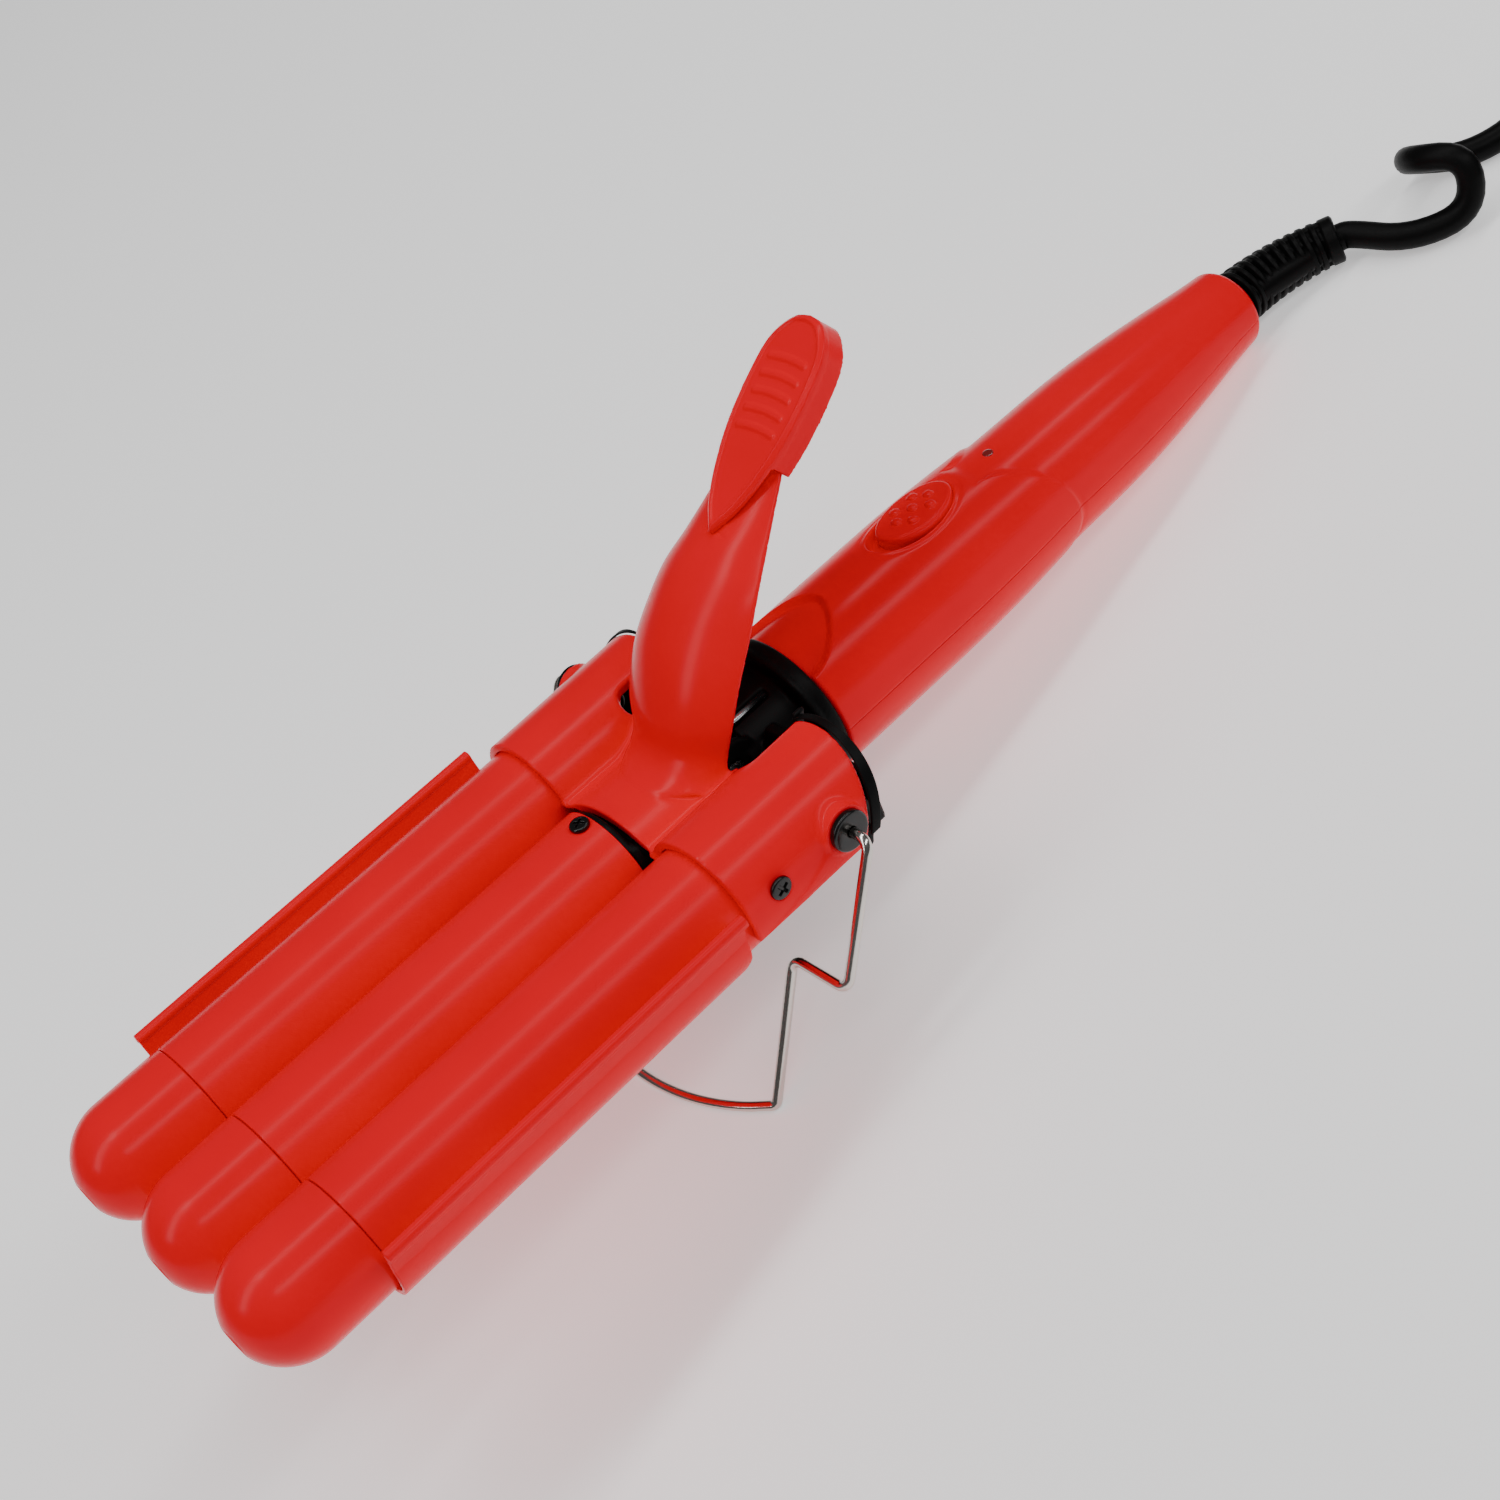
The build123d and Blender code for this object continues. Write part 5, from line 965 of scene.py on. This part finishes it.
# ---- wire stand ----
# Bright plated wire, 2.2 mm thick: its ends turn in the pivot screws, its legs step inwards and run
# down to a bowed foot.
WIRE_R = 1.1
finish("chrome_wire", "plated wire", (0.62, 0.58, 0.54), 0.16, 1500, 0.000015, spread=0.03, Metallic=1.0)


def tube(path, radius, sides=20):
    """A round wire along a level path: rings in planes square to it, carried on without twist."""
    ahead = np.gradient(path, axis=0)
    ahead /= np.linalg.norm(ahead, axis=1)[:, None]
    first = np.empty_like(path)
    guess = np.array([0.3, 0.2, 0.9])
    for index, way in enumerate(ahead):
        guess = guess - way * (guess @ way)
        guess = guess / np.linalg.norm(guess)
        first[index] = guess
    second = np.cross(ahead, first)
    phi = np.linspace(0, 2 * pi, sides, endpoint=False)[:, None]
    rings = path[:, None] + radius * (np.cos(phi) * first[:, None] + np.sin(phi) * second[:, None])
    first_end, last_end = (np.broadcast_to(path[end], (1, sides, 3)) for end in (0, -1))
    return ringed(np.concatenate([first_end, rings, last_end]))


LEG_Y, FOOT_Y, FOOT_BOW = 48.0, 32.3, 10.0
ground = np.array([cos(PITCH), 0, sin(PITCH)])
kick, foot = (97.8, -22.3), (80.7, -50.5)
right_leg = np.array([(HINGE[0], -38.0, HINGE[2]), (HINGE[0], -LEG_Y, HINGE[2]), (kick[0], -LEG_Y, kick[1]),
                      (kick[0], -FOOT_Y, kick[1]), (foot[0], -FOOT_Y, foot[1])])
bow_angle = 2 * np.arctan(FOOT_BOW / FOOT_Y)
bow_radius = FOOT_Y / np.sin(bow_angle)
t = np.linspace(-bow_angle, bow_angle, 60)
bow = (np.array([foot[0], 0, foot[1]]) + np.outer(np.sin(t) * bow_radius, (0, 1, 0))
       - np.outer(bow_radius * (np.cos(t) - np.cos(bow_angle)), ground))
upper = eased(right_leg[:-1], 2.6, 8)
knee = eased([*right_leg[-3:-1], (right_leg[-2] + right_leg[-1]) / 2], 2.6, 8)
ankle = eased([*right_leg[-2:], bow[4]], 1.6, 8)
half_line = np.concatenate([upper[:-1], knee[1:], ankle[1:-1]])
wire_path = np.concatenate([half_line, bow[5:-5], (half_line * (1, -1, 1))[::-1]])
add_piece("folding_wire_stand", tube(wire_path, WIRE_R), "stand", "chrome_wire", "bail_stand")

# ---- screws ----
# Black lacquered screws with domed heads and cross recesses: one through the middle barrel into the
# frame's spigot, one through each sleeve into its barrel's holder, two under the plate, and from below
# one at the handle's neck and two deep in its rear half.
finish("black_screw", "black lacquered steel", BLACK, 0.22, 1800, 0.00002, Specular_IOR_Level=0.4)


def screw_piece(seat, outward, head_r, head_h, shank_r, length):
    """Head height over radius r: a dome, less the depth of a cross where min(|u|, |v|) is in an arm."""
    angle = np.linspace(0, 2 * pi, 120, endpoint=False)[None, :]
    r = head_r * np.concatenate([np.linspace(0, 0.86, 34), [0.9, 0.94, 0.97, 0.99, 1.0]])[:, None]
    u, v = np.abs(r * np.cos(angle)), np.abs(r * np.sin(angle))
    arm = smooth_step((0.17 * head_r - np.minimum(u, v)) / 0.16)
    arm = arm * smooth_step((0.62 * head_r - np.maximum(u, v)) / 0.2)
    rim = np.clip((r / head_r - 0.8) / 0.2, 0, 1)
    height = head_h * (1 - 0.2 * (r / head_r) ** 2 - 0.35 * (1 - np.sqrt(1 - rim ** 2)) - 0.6 * arm)
    rest = np.array([(head_r, 0.02), (shank_r, 0.0), (shank_r, -length), (0, -length)])
    r = np.concatenate([np.broadcast_to(r, height.shape), np.broadcast_to(rest[:, :1], (4, 120))])
    height = np.concatenate([height, np.broadcast_to(rest[:, 1:], (4, 120))])
    outward = np.asarray(outward, float)
    first = np.roll(outward, 1)
    second = np.cross(outward, first)
    angle = angle[..., None] + 0.5
    return ringed(np.array(seat) + height[..., None] * outward
                  + r[..., None] * (np.cos(angle) * first + np.sin(angle) * second))


handle_seats = [(x, 0, AXIS_Z - depth) for x, _, depth in SCREW_WELLS]
plate_screw, sleeve_screw = (2.2, 0.6, 1.1, 2.3), (2.4, 1.0, 1.3, 9.0)
handle_screw = (2.4, 1.6, 1.3, 16.0)
for name, seat, outward, sizes, body, *replaced in (
        ("middle_barrel_screw", (83.9, 0, 11.5), (0, 0, 1), (2.1, 1.0, 1.2, 4.0), "waver_body",
         "centre_barrel_screw"),
        ("left_sleeve_screw", (SLEEVE_SCREW[0], 40.89, SLEEVE_SCREW[1]), (0, 1, 0), sleeve_screw, "clamp",
         "sleeve_screws"),
        ("right_sleeve_screw", (SLEEVE_SCREW[0], -40.89, SLEEVE_SCREW[1]), (0, -1, 0), sleeve_screw, "clamp"),
        ("left_plate_screw", (97.0, SPACING, -13.9), (0, 0, 1), plate_screw, "waver_body", "plate_screws"),
        ("right_plate_screw", (97.0, -SPACING, -13.9), (0, 0, 1), plate_screw, "waver_body"),
        ("handle_neck_screw", handle_seats[0], (0, 0, -1), (2.2, 1.4, 1.2, 4.6), "waver_body", "neck_screw"),
        ("handle_middle_screw", handle_seats[1], (0, 0, -1), handle_screw, "waver_body", "handle_screws"),
        ("handle_rear_screw", handle_seats[2], (0, 0, -1), handle_screw, "waver_body")):
    add_piece(name, screw_piece(seat, outward, *sizes), body, "black_screw", *replaced)

# ---- pivot screws ----
# Black shoulder screws with eased flat heads. Each turns in its sleeve's boss and is threaded into the
# frame's ear; the end of the wire stand turns in its bore.
pivot_line = eased([(29.5, 1.6), (36.8, 1.6), (36.8, 2.3), (41.95, 2.3), (41.95, 4.3), (43.55, 4.3),
                    (43.55, 1.15), (37.5, 1.15), (37.5, 0.02), (29.5, 0.02)],
                   [0, 0, 0, 0, 0.3, 0.6, 0.25, 0, 0, 0], 6)
for side, name, *replaced in ((1, "left", "pivot_screws"), (-1, "right")):
    points, faces = turned(pivot_line * (side, 1), 0, 0, 96)
    add_piece(name + "_pivot_screw", (points[..., [1, 0, 2]] + (HINGE[0], 0, HINGE[2]), faces), "waver_body",
              "black_screw", *replaced)

# ---- springs ----
# Close-wound steel wire round the pin between the frame's cheeks. Two fixed legs lie in grooves on top
# of the neck; between them a double arm, joined by a crossbar, presses on the lever from below.
SPRING_WIRE, SPRING_R = 0.7, 3.6
finish("spring_steel", "drawn spring wire", (0.55, 0.55, 0.57), 0.25, 2500, 0.00002, Metallic=1.0)


def wound(leave, turn, start_y, end_y, turns, *further):
    """Helix about the pin that leaves it at an angle from X towards Z, then goes on through more points."""
    a = leave - turn * 2 * pi * turns * (1 - np.linspace(0, 1, int(turns * 40)))
    y = np.linspace(start_y, end_y, len(a))
    coils = np.stack([HINGE[0] + SPRING_R * np.cos(a), y, HINGE[2] + SPRING_R * np.sin(a)], -1)
    return np.concatenate([coils, eased([coils[-1], *further], 1.6, 8)[1:]])


leg = wound(radians(109.6), -1, 7.6, 4.1, 2.5, (119.5, 5.0, 9.6), (129.5, 5.0, 9.6))
arm = wound(radians(181.6), -1, 0.72, 2.2, 1.05, (110.5, 2.2, 18.5), (110.5, 0.0, 18.5))
for side, name, coils, arms in ((1, "left", ["torsion_spring"], ["spring_arm"]), (-1, "right", [], [])):
    for part, line, body, replaced in (("_spring_leg", leg, "waver_body", coils),
                                       ("_spring_arm", arm, "clamp", arms)):
        add_piece(name + part, tube(line * (1, side, 1), SPRING_WIRE), body, "spring_steel", *replaced)

# ---- indicator ----
# Small round lens of tinted plastic, pressed through the top of the handle behind the switch, over the
# light on the circuit board. Its end is barely domed.
finish("lens_clear", "tinted lens", (0.35, 0.02, 0.02), 0.08, 400, 0.00001, Coat_Weight=0.5,
       Transmission_Weight=0.5)
lens_line = [(8.5, 0), (8.5, 1.2), (13.26, 1.2), (13.34, 1.1), (13.39, 0.7), (13.39, 0)]
points, faces = turned(lens_line, 0, 0, 48)
add_piece("indicator_window", (points[..., [2, 1, 0]] + (203.5, 0, 0), faces), "waver_body", "lens_clear",
          "indicator_lens")

# ---- parts inside ----
# Heaters with their spreaders and holders, circuit board with its parts, and the wiring. They are hidden
# in the barrels, the sleeves and the handle, and keep their plain shapes.
finishes["led_red"] = finishes["lens_clear"]
finish("bare_aluminium", "bare aluminium", (0.72, 0.73, 0.74), 0.38, 1200, 0.00003, Metallic=1.0)
finish("ceramic", "white ceramic", (0.80, 0.78, 0.73), 0.55, 1600, 0.00004)
finish("board_green", "green circuit board", (0.02, 0.16, 0.05), 0.4, 700, 0.00003)
finish("component_black", "moulded case", (0.02, 0.02, 0.022), 0.5, 2000, 0.00004)
finish("film_yellow", "dipped film", (0.55, 0.33, 0.02), 0.25, 500, 0.00004)
finish("silicone_wire", "silicone sleeve", (0.62, 0.61, 0.58), 0.5, 1400, 0.00003)
for part in frame["record"]["subparts"]:
    materials = nodes[part["node"]].data.materials
    materials.clear()
    materials.append(finishes[part["material_slot"]])
